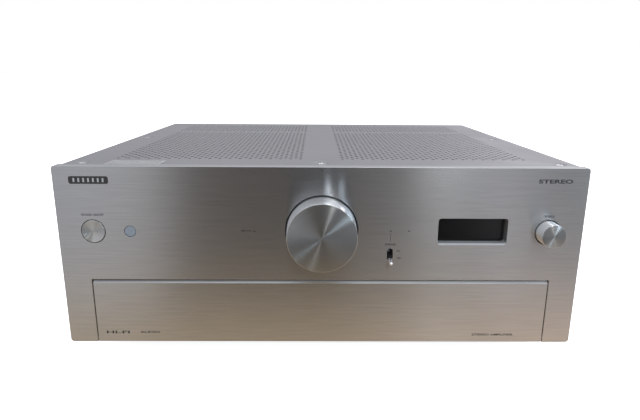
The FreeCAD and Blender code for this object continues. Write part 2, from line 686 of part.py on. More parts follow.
def control_board():
    """Circuit board on posts behind the tray, with the switch cases of its buttons and slider."""
    y0 = TRAY_BACK[1] + CONTROL_BOARD_SET_BACK
    pieces = [box(-140.0, 160.0, y0, y0 + BOARD_THICK, ROW_Z - 14.0, ROW_Z + 14.0)]
    pieces += [rod_y(SPACER_R, TRAY_BACK[1], y0, x, ROW_Z) for x in (-134.0, 60.0, 154.0)]
    for x in (SPEAKER_X, DIMMER_X):
        start = TRAY_BACK[1] + BUTTON_BACK + BUTTON_TRAVEL + 0.3
        pieces.append(box(x - 6.0, x + 6.0, start, y0, ROW_Z - 6.0, ROW_Z + 6.0))
    pieces.append(box(PHONO_X - 10.0, PHONO_X + 10.0, TRAY_BACK[1] + 1.8, y0, ROW_Z - 5.0, ROW_Z + 5.0))
    return fuse_all(pieces)


# ---- Volume, input and power controls -----------------------------------------------------
def volume_knob():
    """Turned knob, hollow from behind, with a hub on the shaft."""
    front = -VOLUME_REACH
    hub_r = 9.0
    seat = front + 8.0
    bore_r = SHAFT_R + SHAFT_FIT
    profile = ((0, front), (VOLUME_R - 1.0, front), (VOLUME_R, front + 1.0), (VOLUME_R, KNOB_BACK),
               (VOLUME_R - 4.0, KNOB_BACK), (VOLUME_R - 4.0, front + 5.0), (hub_r, front + 5.0),
               (hub_r, KNOB_BACK - 1.0), (bore_r, KNOB_BACK - 1.0), (bore_r, seat), (0, seat))
    return lathe_y(profile, 0.0, VOLUME_Z)


def input_knob():
    front = -INPUT_REACH
    bore_r = SHAFT_R + SHAFT_FIT
    profile = ((0, front), (INPUT_R - 0.8, front), (INPUT_R, front + 0.8), (INPUT_R, KNOB_BACK - 1.0),
               (bore_r, KNOB_BACK - 1.0), (bore_r, front + 5.0), (0, front + 5.0))
    return lathe_y(profile, INPUT_X, INPUT_Z)


def encoder(x, z, half, length):
    """Rotary encoder: case, bush and nut on the chassis, and a blind bore for the shaft."""
    case = box(x - half, x + half, CHASSIS_BACK, CHASSIS_BACK + length, z - half, z + half)
    bush = rod_y(BUSH_R, KNOB_BACK + 0.4, CHASSIS_BACK, x, z)
    nut = hex_nut(12.0, KNOB_BACK + 0.8, PANEL_THICK, x, z)
    bore = rod_y(SHAFT_R + RUN_FIT, 0.0, CHASSIS_BACK + length - 2.0, x, z)
    return fuse_all([case, bush, nut]).cut(bore)


def shaft(x, z, front, back):
    return rod_y(SHAFT_R, front, back, x, z)


def power_button():
    """Round cap with a dished face, on the stem that drives the switch."""
    front = -POWER_REACH
    cap = lathe_y(((0, front), (POWER_R - 0.5, front), (POWER_R, front + 0.5), (POWER_R, KNOB_BACK),
                   (POWER_STEM_R, KNOB_BACK), (POWER_STEM_R, POWER_STEM_END), (0, POWER_STEM_END)),
                  POWER_X, POWER_Z)
    dish = Part.makeSphere(POWER_DISH_R, Vector(POWER_X, front + POWER_DISH_DEPTH - POWER_DISH_R, POWER_Z))
    return cap.cut(dish)


def power_switch():
    half = POWER_SWITCH_HALF
    case = box(POWER_X - half, POWER_X + half, CHASSIS_BACK, POWER_SWITCH_BACK, POWER_Z - half,
               POWER_Z + half)
    bore = rod_y(POWER_STEM_R + RUN_FIT, 0.0, POWER_STEM_END + POWER_TRAVEL + 0.5, POWER_X, POWER_Z)
    return case.cut(bore)


def toggle_lever():
    """Bat lever with a ball at its pivot, turned in one outline and tilted to its off position."""
    length = (TOGGLE_PIVOT_Y + TOGGLE_REACH) / math.cos(math.radians(TOGGLE_TILT))
    tip_centre = TOGGLE_PIVOT_Y - length + TOGGLE_TIP_R
    joint = TOGGLE_PIVOT_Y - math.sqrt(TOGGLE_BALL_R ** 2 - TOGGLE_ROOT_R ** 2)

    def point(radius, y):
        return Vector(TOGGLE_X + radius, y, TOGGLE_Z)

    slant = math.sqrt(0.5)
    ball = Part.Arc(point(0, TOGGLE_PIVOT_Y + TOGGLE_BALL_R), point(TOGGLE_BALL_R, TOGGLE_PIVOT_Y),
                    point(TOGGLE_ROOT_R, joint))
    side = Part.LineSegment(point(TOGGLE_ROOT_R, joint), point(TOGGLE_TIP_R, tip_centre))
    tip = Part.Arc(point(TOGGLE_TIP_R, tip_centre),
                   point(TOGGLE_TIP_R * slant, tip_centre - TOGGLE_TIP_R * slant),
                   point(0, tip_centre - TOGGLE_TIP_R))
    axis = Part.LineSegment(point(0, tip_centre - TOGGLE_TIP_R), point(0, TOGGLE_PIVOT_Y + TOGGLE_BALL_R))
    outline = Part.Wire([curve.toShape() for curve in (ball, side, tip, axis)])
    lever = Part.Face(outline).revolve(point(0, 0), Vector(0, 1, 0), 360)
    lever.rotate(point(0, TOGGLE_PIVOT_Y), Vector(1, 0, 0), TOGGLE_TILT)
    return lever


def toggle_switch():
    half_x, half_z = TOGGLE_CASE
    case = box(TOGGLE_X - half_x, TOGGLE_X + half_x, CHASSIS_BACK, TOGGLE_CASE_BACK,
               TOGGLE_Z - half_z, TOGGLE_Z + half_z)
    socket = rod_y(TOGGLE_BALL_R + RUN_FIT, 0.0, TOGGLE_PIVOT_Y + TOGGLE_BALL_R + RUN_FIT,
                   TOGGLE_X, TOGGLE_Z)
    return case.cut(socket)


# ---- Rear terminals -----------------------------------------------------------------------
def rca_sleeves():
    """Earthed shells of the phono sockets, one on each hole of the rear panel."""
    end = CASE_DEPTH + RCA_LENGTH
    profile = ((RCA_CORE_R, REAR_INSIDE), (RCA_R, REAR_INSIDE), (RCA_R, CASE_DEPTH),
               (RCA_FLANGE_R, CASE_DEPTH), (RCA_FLANGE_R, CASE_DEPTH + 1.0), (RCA_R, CASE_DEPTH + 1.0),
               (RCA_R, end), (RCA_CORE_R, end))
    return [lathe_y(profile, x, z) for x in RCA_COLUMNS for z in RCA_ROWS]


def rca_blocks():
    """Insulator of each pair of sockets: a core inside each sleeve on one block behind."""
    low, high = RCA_ROWS
    half, margin, depth = RCA_BLOCK
    blocks = []
    for x in RCA_COLUMNS:
        block = box(x - half, x + half, REAR_INSIDE - depth, REAR_INSIDE, low - margin, high + margin)
        cores = [rod_y(RCA_CORE_R, REAR_INSIDE, CASE_DEPTH + RCA_LENGTH - 0.5, x, z) for z in RCA_ROWS]
        holes = [rod_y(RCA_HOLE_R, REAR_INSIDE - 4.0, CASE_DEPTH + RCA_LENGTH + 1.0, x, z)
                 for z in RCA_ROWS]
        blocks.append(fuse_all([block] + cores).cut(fuse_all(holes)))
    return blocks


def fluted(radius, flutes, flute_r, y0, y1, x, z):
    """Round grip with shallow flutes along its length."""
    body = rod_y(radius, y0, y1, x, z)
    cutters = []
    for k in range(flutes):
        turn = 2.0 * math.pi * k / flutes
        reach = radius + flute_r * 0.5
        cutters.append(rod_y(flute_r, y0 - 1.0, y1 + 1.0,
                             x + reach * math.cos(turn), z + reach * math.sin(turn)))
    return body.cut(fuse_all(cutters))


def post_cap(x):
    end = REACH_BACK
    grip = fluted(POST_R, 12, 1.2, end - POST_LENGTH, end, x, POST_Z)
    return grip.cut(rod_y(STUD_R + RUN_FIT, end - POST_LENGTH - 1.0, end + 1.0, x, POST_Z))


def post_studs():
    """Threaded studs with an insulating collar on the panel, cross hole and plug bore."""
    studs = []
    end = REACH_BACK - STUD_SET_BACK
    for x in POST_X.values():
        stud = rod_y(STUD_R, REAR_INSIDE - STUD_TAIL, end, x, POST_Z)
        collar = rod_y(COLLAR_R, CASE_DEPTH, CASE_DEPTH + COLLAR_THICK, x, POST_Z)
        spacer = rod_y(STUD_R + STUD_SPACER, REAR_INSIDE, CASE_DEPTH, x, POST_Z)
        washer = rod_y(WASHER_R, REAR_INSIDE - WASHER_THICK, REAR_INSIDE, x, POST_Z)
        cross = rod_z(CROSS_HOLE_R, POST_Z - 2.0 * STUD_R, POST_Z + 2.0 * STUD_R, x, CASE_DEPTH + CROSS_HOLE_Y)
        bore = rod_y(BANANA_R, end - BANANA_DEPTH, end + 1.0, x, POST_Z)
        studs.append(fuse_all([stud, collar, spacer, washer]).cut(cross).cut(bore))
    inside, outside = GROUND_STUD_ENDS
    ground = rod_y(GROUND_STUD_R, REAR_INSIDE - inside, CASE_DEPTH + outside, GROUND_X, GROUND_Z)
    base_r, base_thick = GROUND_BASE
    base = rod_y(base_r, CASE_DEPTH, CASE_DEPTH + base_thick, GROUND_X, GROUND_Z)
    studs.append(ground.fuse(base).removeSplitter())
    return studs


def ground_knob():
    y0 = CASE_DEPTH + GROUND_GRIP[0]
    y1 = CASE_DEPTH + GROUND_GRIP[1]
    grip = fluted(GROUND_R, 16, 0.6, y0, y1, GROUND_X, GROUND_Z)
    return grip.cut(rod_y(GROUND_STUD_R + RUN_FIT, y0 - 1.0, y1 + 1.0, GROUND_X, GROUND_Z))


def power_inlet():
    """Three-pole mains inlet: flange outside the panel and a deep socket through it."""
    w = INLET_HALF_W
    h = INLET_HALF_H
    rim = INLET_RIM
    flange = rounded_plate(INLET_X - w - rim, INLET_X + w + rim, INLET_Z - h - rim, INLET_Z + h + rim,
                           INLET_CORNER_R, CASE_DEPTH, CASE_DEPTH + INLET_FLANGE)
    body = box(INLET_X - w, INLET_X + w, CASE_DEPTH - INLET_BODY, CASE_DEPTH, INLET_Z - h, INLET_Z + h)
    w -= INLET_WALL
    h -= INLET_WALL
    socket = box(INLET_X - w, INLET_X + w, CASE_DEPTH - INLET_SOCKET, CASE_DEPTH + INLET_FLANGE + 1.0,
                 INLET_Z - h, INLET_Z + h)
    return fuse_all([flange, body]).cut(socket).cut(fuse_all(inlet_pins()))


def inlet_pins():
    """Two blades and the earth blade between and above them."""
    half_x, half_z = PIN_HALF
    inner, outer = PIN_ENDS
    return [box(INLET_X + dx - half_x, INLET_X + dx + half_x, CASE_DEPTH - inner, CASE_DEPTH - outer,
                INLET_Z + dz - half_z, INLET_Z + dz + half_z) for dx, dz in INLET_PINS]


# ---- Inside -------------------------------------------------------------------------------
def core_middle_leg():
    """Left and right faces of the transformer core's middle leg."""
    middle = sum(CORE_X) / 2.0
    half = (CORE_X[1] - CORE_X[0]) / 8.0
    return middle - half, middle + half


def transformer_core():
    """Laminated core on four feet: outer frame and middle leg, with two windows."""
    x0, x1 = CORE_X
    y0, y1 = CORE_Y
    bottom = BASE_TOP + CORE_LIFT
    top = bottom + CORE_HEIGHT
    leg_left, leg_right = core_middle_leg()
    outer_leg = leg_right - leg_left
    windows = [box(x0 + outer_leg / 2.0, leg_left, y0 + YOKE, y1 - YOKE, bottom - 1.0, top + 1.0),
               box(leg_right, x1 - outer_leg / 2.0, y0 + YOKE, y1 - YOKE, bottom - 1.0, top + 1.0)]
    feet = [box(x, x + CORE_FOOT, y, y + CORE_FOOT, BASE_TOP, bottom) for x in (x0, x1 - CORE_FOOT)
            for y in (y0, y1 - CORE_FOOT)]
    return fuse_all([box(x0, x1, y0, y1, bottom, top)] + feet).cut(fuse_all(windows))


def transformer_winding():
    """Coil wrapped round the core's middle leg."""
    x0, x1 = CORE_X
    leg_left, leg_right = core_middle_leg()
    outer_leg = leg_right - leg_left
    bottom = BASE_TOP + CORE_LIFT
    top = bottom + CORE_HEIGHT
    y0 = CORE_Y[0] + YOKE + COIL_GAP
    y1 = CORE_Y[1] - YOKE - COIL_GAP
    outer = box(x0 + outer_leg / 2.0 + COIL_GAP, x1 - outer_leg / 2.0 - COIL_GAP, y0, y1,
                bottom - COIL_BULGE, top + COIL_BULGE)
    return outer.cut(box(leg_left, leg_right, y0 - 1.0, y1 + 1.0, bottom, top))


def filter_capacitors():
    base = BOARD_Z + BOARD_THICK
    return [rod_z(CAN_R, base, base + CAN_HEIGHT, x, y) for x, y in CAN_PLACES]


def heatsink(x, side):
    """Finned extrusion: an upright web with fins towards the given side."""
    def slab(near, far, y0, y1):
        inner, outer = sorted((x + side * near, x + side * far))
        return box(inner, outer, y0, y1, BASE_TOP, SINK_TOP)

    y0, y1 = SINK_Y
    step = (y1 - y0 - FIN_THICK) / (FINS - 1)
    fins = [slab(SINK_WEB, SINK_WEB + FIN_REACH, y0 + k * step, y0 + k * step + FIN_THICK)
            for k in range(FINS)]
    return fuse_all([slab(0.0, SINK_WEB, y0, y1)] + fins)


def power_transistors():
    """Output transistors, two on the flat side of each heatsink."""
    cans = []
    for x, side in HEATSINKS.values():
        inner, outer = sorted((x, x - side * TRANSISTOR_THICK))
        for y in TRANSISTOR_Y:
            cans.append(box(inner, outer, y - TRANSISTOR_HALF, y + TRANSISTOR_HALF, *TRANSISTOR_Z))
    return cans


def board(x0, x1, y0, y1):
    """Circuit board on a spacer at each corner."""
    plate = box(x0, x1, y0, y1, BOARD_Z, BOARD_Z + BOARD_THICK)
    inset = SPACER_INSET
    spacers = [rod_z(SPACER_R, BASE_TOP, BOARD_Z, x, y) for x in (x0 + inset, x1 - inset)
               for y in (y0 + inset, y1 - inset)]
    return fuse_all([plate] + spacers)


# ---- Every node ---------------------------------------------------------------------------
def main():
    os.makedirs("parts", exist_ok=True)
    export("front_panel", front_panel())
    export("display_glass", display_glass())
    export("display_module", display_module())
    export("indicator_lenses", *indicator_lenses())
    export("ir_window", rod_y(EYE_R, EYE_SINK, PANEL_THICK, EYE_X, EYE_Z))
    export("front_chassis", front_chassis())
    export("top_cover", top_cover())
    export("side_panel_left", side_panel(-1))
    export("side_panel_right", side_panel(1))
    export("bottom_plate", bottom_plate())
    export("rear_panel", rear_panel())
    export("case_screws", *case_screws())
    export("base_screws", *base_screws())
    for end, y in (("front", FOOT_FRONT_Y), ("rear", FOOT_REAR_Y)):
        for name, side in (("left", -1), ("right", 1)):
            export("foot_" + end + "_" + name, foot(side * FOOT_X, y))
    export("foot_pads", *foot_pads())
    export("door", door())
    export("door_hinge_pins", *door_hinge_pins())
    export("door_strikes", *door_strikes())
    export("door_magnets", *door_magnets())
    export("control_tray", control_tray())
    export("headphone_jack", headphone_jack())
    export("speaker_button", tray_button(SPEAKER_X))
    export("dimmer_button", tray_button(DIMMER_X))
    for node, x in TONE_X.items():
        export(node, tone_knob(x))
    export("tone_pots", *tone_pots())
    export("phono_slider", phono_slider())
    export("control_board", control_board())
    export("volume_knob", volume_knob())
    export("volume_shaft", shaft(0.0, VOLUME_Z, 8.0 - VOLUME_REACH, 30.0))
    export("volume_encoder", encoder(0.0, VOLUME_Z, *VOLUME_ENCODER))
    export("input_knob", input_knob())
    export("input_shaft", shaft(INPUT_X, INPUT_Z, 5.0 - INPUT_REACH, 22.0))
    export("input_encoder", encoder(INPUT_X, INPUT_Z, *INPUT_ENCODER))
    export("power_button", power_button())
    export("power_switch", power_switch())
    export("toggle_lever", toggle_lever())
    export("toggle_switch", toggle_switch())
    export("rca_sleeves", *rca_sleeves())
    export("rca_blocks", *rca_blocks())
    for node, x in POST_X.items():
        export(node, post_cap(x))
    export("post_studs", *post_studs())
    export("ground_knob", ground_knob())
    export("power_inlet", power_inlet())
    export("inlet_pins", *inlet_pins())
    export("transformer_core", transformer_core())
    export("transformer_winding", transformer_winding())
    export("filter_capacitors", *filter_capacitors())
    for node, (x, side) in HEATSINKS.items():
        export(node, heatsink(x, side))
    export("power_transistors", *power_transistors())
    export("amp_board", board(88.0, 180.0, 70.0, 240.0))
    export("main_board", board(-180.0, 190.0, 262.0, 350.0))


main()
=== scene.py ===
import math

import bmesh
import bpy
from mathutils import Matrix, Vector
from mathutils.geometry import delaunay_2d_cdt


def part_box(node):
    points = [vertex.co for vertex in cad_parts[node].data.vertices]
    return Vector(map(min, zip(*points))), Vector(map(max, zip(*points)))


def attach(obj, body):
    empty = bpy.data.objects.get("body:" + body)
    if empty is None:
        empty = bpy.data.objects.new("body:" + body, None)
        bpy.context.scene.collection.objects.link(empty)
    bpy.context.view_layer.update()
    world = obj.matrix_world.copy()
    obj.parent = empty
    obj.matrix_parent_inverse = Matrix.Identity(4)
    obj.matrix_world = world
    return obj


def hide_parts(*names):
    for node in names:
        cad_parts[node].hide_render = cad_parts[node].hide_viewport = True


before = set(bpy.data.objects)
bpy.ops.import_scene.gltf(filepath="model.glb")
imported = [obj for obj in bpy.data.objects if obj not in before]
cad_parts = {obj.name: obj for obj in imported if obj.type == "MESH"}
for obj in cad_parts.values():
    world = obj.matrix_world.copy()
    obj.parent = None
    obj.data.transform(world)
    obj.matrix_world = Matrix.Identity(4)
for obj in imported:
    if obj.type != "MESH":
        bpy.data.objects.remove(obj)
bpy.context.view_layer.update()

# Working frame of this script, in millimetres: x from the centre line, depth back from the
# front panel's face, height up from the panel's lower edge. at() turns it into the row frame.
MM = 0.001
PANEL_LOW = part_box("front_panel")[0]
SKIN = 0.02  # how far prints stand proud of their face


# ---- Places ----
def at(x, depth, height):
    return Vector((x * MM, PANEL_LOW.y + depth * MM, PANEL_LOW.z + height * MM))


def span(node):
    """Lowest and highest corner of a CAD node in the working frame."""
    low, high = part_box(node)
    origin = at(0, 0, 0)
    return (low - origin) / MM, (high - origin) / MM


def middle(node):
    low, high = span(node)
    return (low + high) / 2.0


def round_part(node):
    """Middle, radius, front and back of a CAD node that is round about a line along Y."""
    low, high = span(node)
    return (low + high) / 2.0, (high.x - low.x) / 2.0, low.y, high.y


REAR_FACE = span("rear_panel")[1].y


# ---- Node helpers ----
class Nodes:
    """Short calls for building one node tree."""

    def __init__(self, tree):
        self.tree = tree
        tree.nodes.clear()

    def add(self, kind, **settings):
        node = self.tree.nodes.new(kind)
        for name, value in settings.items():
            setattr(node, name, value)
        return node

    def link(self, source, target):
        self.tree.links.new(source, target)

    def feed(self, socket, value):
        if isinstance(value, bpy.types.NodeSocket):
            self.link(value, socket)
        else:
            socket.default_value = value

    def put(self, node, **values):
        """Feed inputs by name, with _ for each space in a name."""
        for name, value in values.items():
            self.feed(node.inputs[name.replace("_", " ")], value)

    def call(self, kind, *values, **settings):
        """Add a node, feed its first inputs in order, and return its first output."""
        node = self.add(kind, **settings)
        for socket, value in zip(node.inputs, values):
            self.feed(socket, value)
        return node.outputs[0]

    def math(self, operation, *values):
        return self.call("ShaderNodeMath", *values, operation=operation)

    def vector(self, operation, *values):
        return self.call("ShaderNodeVectorMath", *values, operation=operation)

    def combine(self, *values):
        return self.call("ShaderNodeCombineXYZ", *values)

    def ramp(self, value, low, high, out_low=0.0, out_high=1.0):
        """Smooth step of value from low to high."""
        return self.call("ShaderNodeMapRange", value, low, high, out_low, out_high,
                         interpolation_type="SMOOTHSTEP")

    def split(self, vector):
        """The three parts of a vector."""
        node = self.add("ShaderNodeSeparateXYZ")
        self.link(vector, node.inputs[0])
        return node.outputs

    def mix(self, factor, a, b, blend="MIX"):
        node = self.add("ShaderNodeMix", data_type="RGBA", blend_type=blend)
        for index, value in ((0, factor), (6, a), (7, b)):
            self.feed(node.inputs[index], value)
        return node.outputs[2]

    def coordinates(self, name):
        return self.add("ShaderNodeTexCoord").outputs[name]

    def object_point(self, scale=(1.0, 1.0, 1.0)):
        """Object coordinates, in metres, stretched along each axis."""
        mapping = self.add("ShaderNodeMapping")
        self.put(mapping, Vector=self.coordinates("Object"), Scale=scale)
        return mapping.outputs[0]

    def finish(self, shader, kind="Material"):
        self.link(shader, self.add("ShaderNodeOutput" + kind).inputs["Surface"])

    def blend(self, first, second):
        """Three parts of the first to two of the second."""
        return self.math("MULTIPLY_ADD", first, 0.6, self.math("MULTIPLY", second, 0.4))

    def noise(self, vector, scale, detail, roughness=0.55):
        node = self.add("ShaderNodeTexNoise")
        self.put(node, Vector=vector, Scale=scale, Detail=detail, Roughness=roughness)
        return node.outputs[0]

    def bump(self, height, distance, strength):
        node = self.add("ShaderNodeBump")
        self.put(node, Strength=strength, Distance=distance, Height=height)
        return node.outputs[0]


def rgba(colour, share=1.0):
    return (*(channel * share for channel in colour), 1.0)


def blank(name):
    """A new material and its empty node tree."""
    material = bpy.data.materials.new(name)
    material.use_nodes = True
    return material, Nodes(material.node_tree)


def shaded(name, colour, metallic, roughness):
    """A material with a Principled surface; returns the material, its nodes and that surface."""
    material, nodes = blank(name)
    surface = nodes.add("ShaderNodeBsdfPrincipled")
    nodes.finish(surface.outputs[0])
    nodes.put(surface, Base_Color=rgba(colour), Metallic=metallic, Roughness=roughness)
    material.diffuse_color = rgba(colour)
    return material, nodes, surface


# ---- Materials ----
WHITE = (1.0, 1.0, 1.0)
FINE_BRUSH = 8000.0
COARSE_BRUSH = 2200.0
BROAD_BRUSH = 900.0
BROAD_DARK = 0.955
BROAD_LIGHT = 1.045
CUT_ROUGHNESS = 0.28  # added on faces that don't look along Y
WALL_MATTE = 0.8
WALL_COLOUR = (0.37, 0.385, 0.405)
RIM_ROUGHNESS = 0.02  # added on a knob's side
RIM_SILVER = (0.70, 0.715, 0.73)
KNOB_SILVER = (0.40, 0.41, 0.41)
FINE_RINGS = 2600.0
WIDE_RINGS = 420.0
LABEL = (-178.6, -133.0, 8.2, 30.2)  # x and depth range of the film on the cover
FILM_RIM = 1.3


def brushed(name, colour, roughness, along=0, across=(0.0, 0.35, 1.0), walls=None):
    """Straight-brushed metal: streaks along an axis, 0 to 2, with gloss stretched across them.

    walls gives ranges across and up, in the row frame, where walls facing up are matte.
    """
    def streaks(length, width, detail):
        scale = [length if axis == along else width for axis in range(3)]
        return nodes.noise(nodes.object_point(scale), 1.0, detail)

    material, nodes, surface = shaded(name, colour, 1.0, roughness)
    fine = streaks(4.0, FINE_BRUSH, 2.0)
    coarse = streaks(4.0, COARSE_BRUSH, 3.0)
    broad = streaks(28.0, BROAD_BRUSH, 2.0)
    cloud = nodes.noise(nodes.object_point(), 9.0, 2.0)
    streak = nodes.blend(fine, coarse)
    tone = nodes.mix(streak, rgba(colour, 0.97), rgba(colour, 1.03))
    line = nodes.mix(nodes.ramp(broad, 0.3, 0.7), rgba(WHITE, BROAD_DARK), rgba(WHITE, BROAD_LIGHT))
    tone = nodes.mix(1.0, tone, line, "MULTIPLY")
    tone = nodes.mix(nodes.math("MULTIPLY", cloud, 0.18), tone, rgba(colour, 0.93))
    _, facing_out, facing_up = nodes.split(nodes.coordinates("Normal"))
    cut = nodes.ramp(nodes.math("ABSOLUTE", facing_out), 0.95, 0.5)
    gloss = nodes.ramp(streak, 0.2, 0.8, roughness - 0.003, roughness + 0.003)
    if walls:
        place = nodes.split(nodes.object_point())
        wall = nodes.math("MULTIPLY", cut, nodes.ramp(facing_up, 0.2, 0.7))
        for output, (low, high) in zip((place[0], place[2]), walls):
            near = nodes.math("COMPARE", output, (low + high) / 2.0, (high - low) / 2.0)
            wall = nodes.math("MULTIPLY", wall, near)
        nodes.put(surface, Metallic=nodes.math("MULTIPLY_ADD", wall, -WALL_MATTE, 1.0))
        tone = nodes.mix(wall, tone, rgba(WALL_COLOUR))
    nodes.put(surface, Base_Color=tone, Roughness=nodes.math("MULTIPLY_ADD", cut, CUT_ROUGHNESS, gloss),
              Anisotropic=nodes.math("SUBTRACT", 1.0, cut), Tangent=nodes.combine(*across),
              Normal=nodes.bump(coarse, 0.000002, 0.05))
    return material


def spun(name, colour, roughness, centre, anisotropy=1.0, rim_roughness=RIM_ROUGHNESS):
    """Metal turned about a line along Y through centre: fine rings and gloss that fans out."""
    material, nodes, surface = shaded(name, colour, 1.0, roughness)
    across, depth, up = nodes.split(nodes.vector("SUBTRACT", nodes.object_point(), centre))
    square = nodes.math("MULTIPLY_ADD", across, across, nodes.math("MULTIPLY", up, up))
    ring_point = nodes.combine(nodes.math("SQRT", square), nodes.math("MULTIPLY", depth, 0.6))
    ring = nodes.noise(ring_point, FINE_RINGS, 2.0)
    wide_ring = nodes.noise(ring_point, WIDE_RINGS, 2.0)
    streak = nodes.blend(ring, wide_ring)
    tone = nodes.mix(streak, rgba(colour, 0.94), rgba(colour, 1.05))
    facing_out = nodes.split(nodes.coordinates("Normal"))[1]
    rim = nodes.ramp(nodes.math("ABSOLUTE", facing_out), 0.8, 0.3)
    gloss = nodes.ramp(streak, 0.2, 0.8, roughness - 0.012, roughness + 0.012)
    outward = nodes.vector("NORMALIZE", nodes.combine(across, 0.0, up))
    nodes.put(surface, Base_Color=nodes.mix(rim, tone, rgba(RIM_SILVER)),
              Roughness=nodes.math("MULTIPLY_ADD", rim, rim_roughness, gloss), Anisotropic=anisotropy,
              Tangent=nodes.vector("ADD", outward, (0.0, 0.3, 0.0)),
              Normal=nodes.bump(wide_ring, 0.000004, 0.1))
    return material


def grained(name, colour, roughness, grain=900.0, depth=0.00004, metallic=0.0, contrast=0.12,
            coat=0.0):
    """Paint, moulded plastic or rubber: fine bumps, slight mottling and uneven gloss."""
    material, nodes, surface = shaded(name, colour, metallic, roughness)
    fine = nodes.noise(nodes.object_point(), grain, 2.0)
    cloud = nodes.noise(nodes.object_point(), 25.0, 3.0)
    tone = nodes.mix(nodes.blend(fine, cloud), rgba(colour, 1.0 - contrast),
                     rgba(colour, 1.0 + contrast))
    nodes.put(surface, Base_Color=tone, Coat_Weight=coat, Coat_Roughness=0.2,
              Roughness=nodes.ramp(cloud, 0.25, 0.75, roughness - 0.05, roughness + 0.06),
              Normal=nodes.bump(fine, depth, 0.6))
    return material


def polished(name, colour, roughness):
    """Plated metal: mirror-like, with faint wear in the gloss."""
    material, nodes, surface = shaded(name, colour, 1.0, roughness)
    wear = nodes.noise(nodes.object_point(), 300.0, 4.0)
    nodes.put(surface, Base_Color=nodes.mix(wear, rgba(colour, 0.92), rgba(colour, 1.05)),
              Roughness=nodes.ramp(wear, 0.3, 0.8, roughness * 0.7, roughness * 1.8))
    return material


def glossy_black(name, colour, roughness=0.08):
    """Smoked display window: deep black with a clear hard face and faint dust."""
    material, nodes, surface = shaded(name, colour, 0.0, roughness)
    dust = nodes.noise(nodes.object_point(), 420.0, 5.0, 0.7)
    tone = nodes.mix(nodes.ramp(dust, 0.55, 0.85), rgba(colour), rgba(colour, 2.2))
    nodes.put(surface, Base_Color=tone, Specular_IOR_Level=0.25,
              Roughness=nodes.ramp(dust, 0.4, 0.9, roughness, roughness + 0.12))
    return material


def clear_film(name):
    """Thin clear label film, slightly frosted, whiter along its cut border."""
    material, nodes, surface = shaded(name, (0.80, 0.80, 0.80), 0.0, 0.35)
    haze = nodes.noise(nodes.object_point(), 40.0, 2.0)
    place = nodes.split(nodes.object_point())
    low, high = at(LABEL[0], LABEL[2], 0), at(LABEL[1], LABEL[3], 0)
    border = 0.0
    for output, start, end in ((place[0], low.x, high.x), (place[1], low.y, high.y)):
        off = nodes.math("ABSOLUTE", nodes.math("SUBTRACT", output, (start + end) / 2.0))
        half = (end - start) / 2.0
        near = nodes.ramp(off, half - FILM_RIM * MM, half - 0.4 * FILM_RIM * MM)
        border = nodes.math("MAXIMUM", border, near)
    body = nodes.ramp(haze, 0.2, 0.9, 0.28, 0.40)
    nodes.put(surface, Roughness=nodes.ramp(haze, 0.3, 0.8, 0.28, 0.5),
              Alpha=nodes.math("MULTIPLY_ADD", border, 0.42, body), Coat_Weight=1.0, Coat_Roughness=0.12)
    return material


def translucent(name, colour):
    """Hazy window in front of the remote receiver."""
    material, nodes, surface = shaded(name, colour, 0.0, 0.28)
    haze = nodes.noise(nodes.object_point(), 700.0, 2.0)
    nodes.put(surface, Base_Color=nodes.mix(haze, rgba(colour, 0.94), rgba(colour, 1.05)),
              Coat_Weight=0.5)
    return material


def display_walls():
    """Ranges across and up, in the row frame, that hold the walls of the display's opening."""
    low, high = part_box("display_glass")
    return (low[0], high[0]), (low[2], high[2])


GRAINED = {
    "cover_paint": ((0.25, 0.246, 0.256), 0.5, 1500.0, 0.00003, 0.25, 0.06),
    # Near-black walls for the cover's vent holes: painted shade inside the holes, far darker than the
    # cover's own paint.
    "hole_wall": ((0.045, 0.044, 0.048), 0.6, 1500.0, 0.00003),
    "rear_paint": ((0.035, 0.035, 0.038), 0.5, 1300.0),
    "black_plastic": ((0.022, 0.022, 0.024), 0.48),
    "grip_black": ((0.018, 0.018, 0.02), 0.3, 700.0, 0.00002, 0.0, 0.15, 0.2),
    "grip_red": ((0.42, 0.02, 0.018), 0.3, 700.0, 0.00002, 0.0, 0.1, 0.3),
    "white_plastic": ((0.78, 0.77, 0.74), 0.4),
    "rubber": ((0.018, 0.018, 0.018), 0.8, 600.0, 0.00008),
    "print_dark": ((0.016, 0.016, 0.016), 0.6, 2500.0, 0.00001),
    "badge_metal": ((0.33, 0.34, 0.35), 0.4, 2500.0, 0.00001, 0.5),
    "print_pale": ((0.62, 0.61, 0.59), 0.55, 2500.0, 0.00001),
    "board_green": ((0.03, 0.12, 0.045), 0.35, 400.0, 0.00003, 0.0, 0.2, 0.4),
    "winding": ((0.55, 0.38, 0.08), 0.4, 300.0, 0.0001, 0.0, 0.2, 0.3),
    "sleeve_blue": ((0.03, 0.035, 0.08), 0.3, 500.0, 0.00002, 0.0, 0.1, 0.4),
}
POLISHED = {
    "screw_steel": ((0.70, 0.69, 0.69), 0.15),
    "chrome": ((0.78, 0.78, 0.80), 0.06),
    "gold": ((0.86, 0.60, 0.25), 0.16),
    "tin": ((0.66, 0.65, 0.63), 0.3),
}
MATERIALS = {
    "panel_metal": brushed("panel_metal", (0.425, 0.43, 0.44), 0.27, walls=display_walls()),
    "plated_sheet": brushed("plated_sheet", (0.30, 0.30, 0.31), 0.45, 1, (1.0, 0.0, 0.0)),
    "core_steel": brushed("core_steel", (0.16, 0.15, 0.15), 0.5, 1, (1.0, 0.0, 0.0)),
    "display_black": glossy_black("display_black", (0.005, 0.005, 0.0045)),
    "lamp": glossy_black("lamp", (0.03, 0.02, 0.015), 0.2),
    "eye": translucent("eye", (0.128, 0.152, 0.178)),
    "film": clear_film("film"),
}
for make, looks in ((grained, GRAINED), (polished, POLISHED)):
    for name, look in looks.items():
        MATERIALS[name] = make(name, *look)
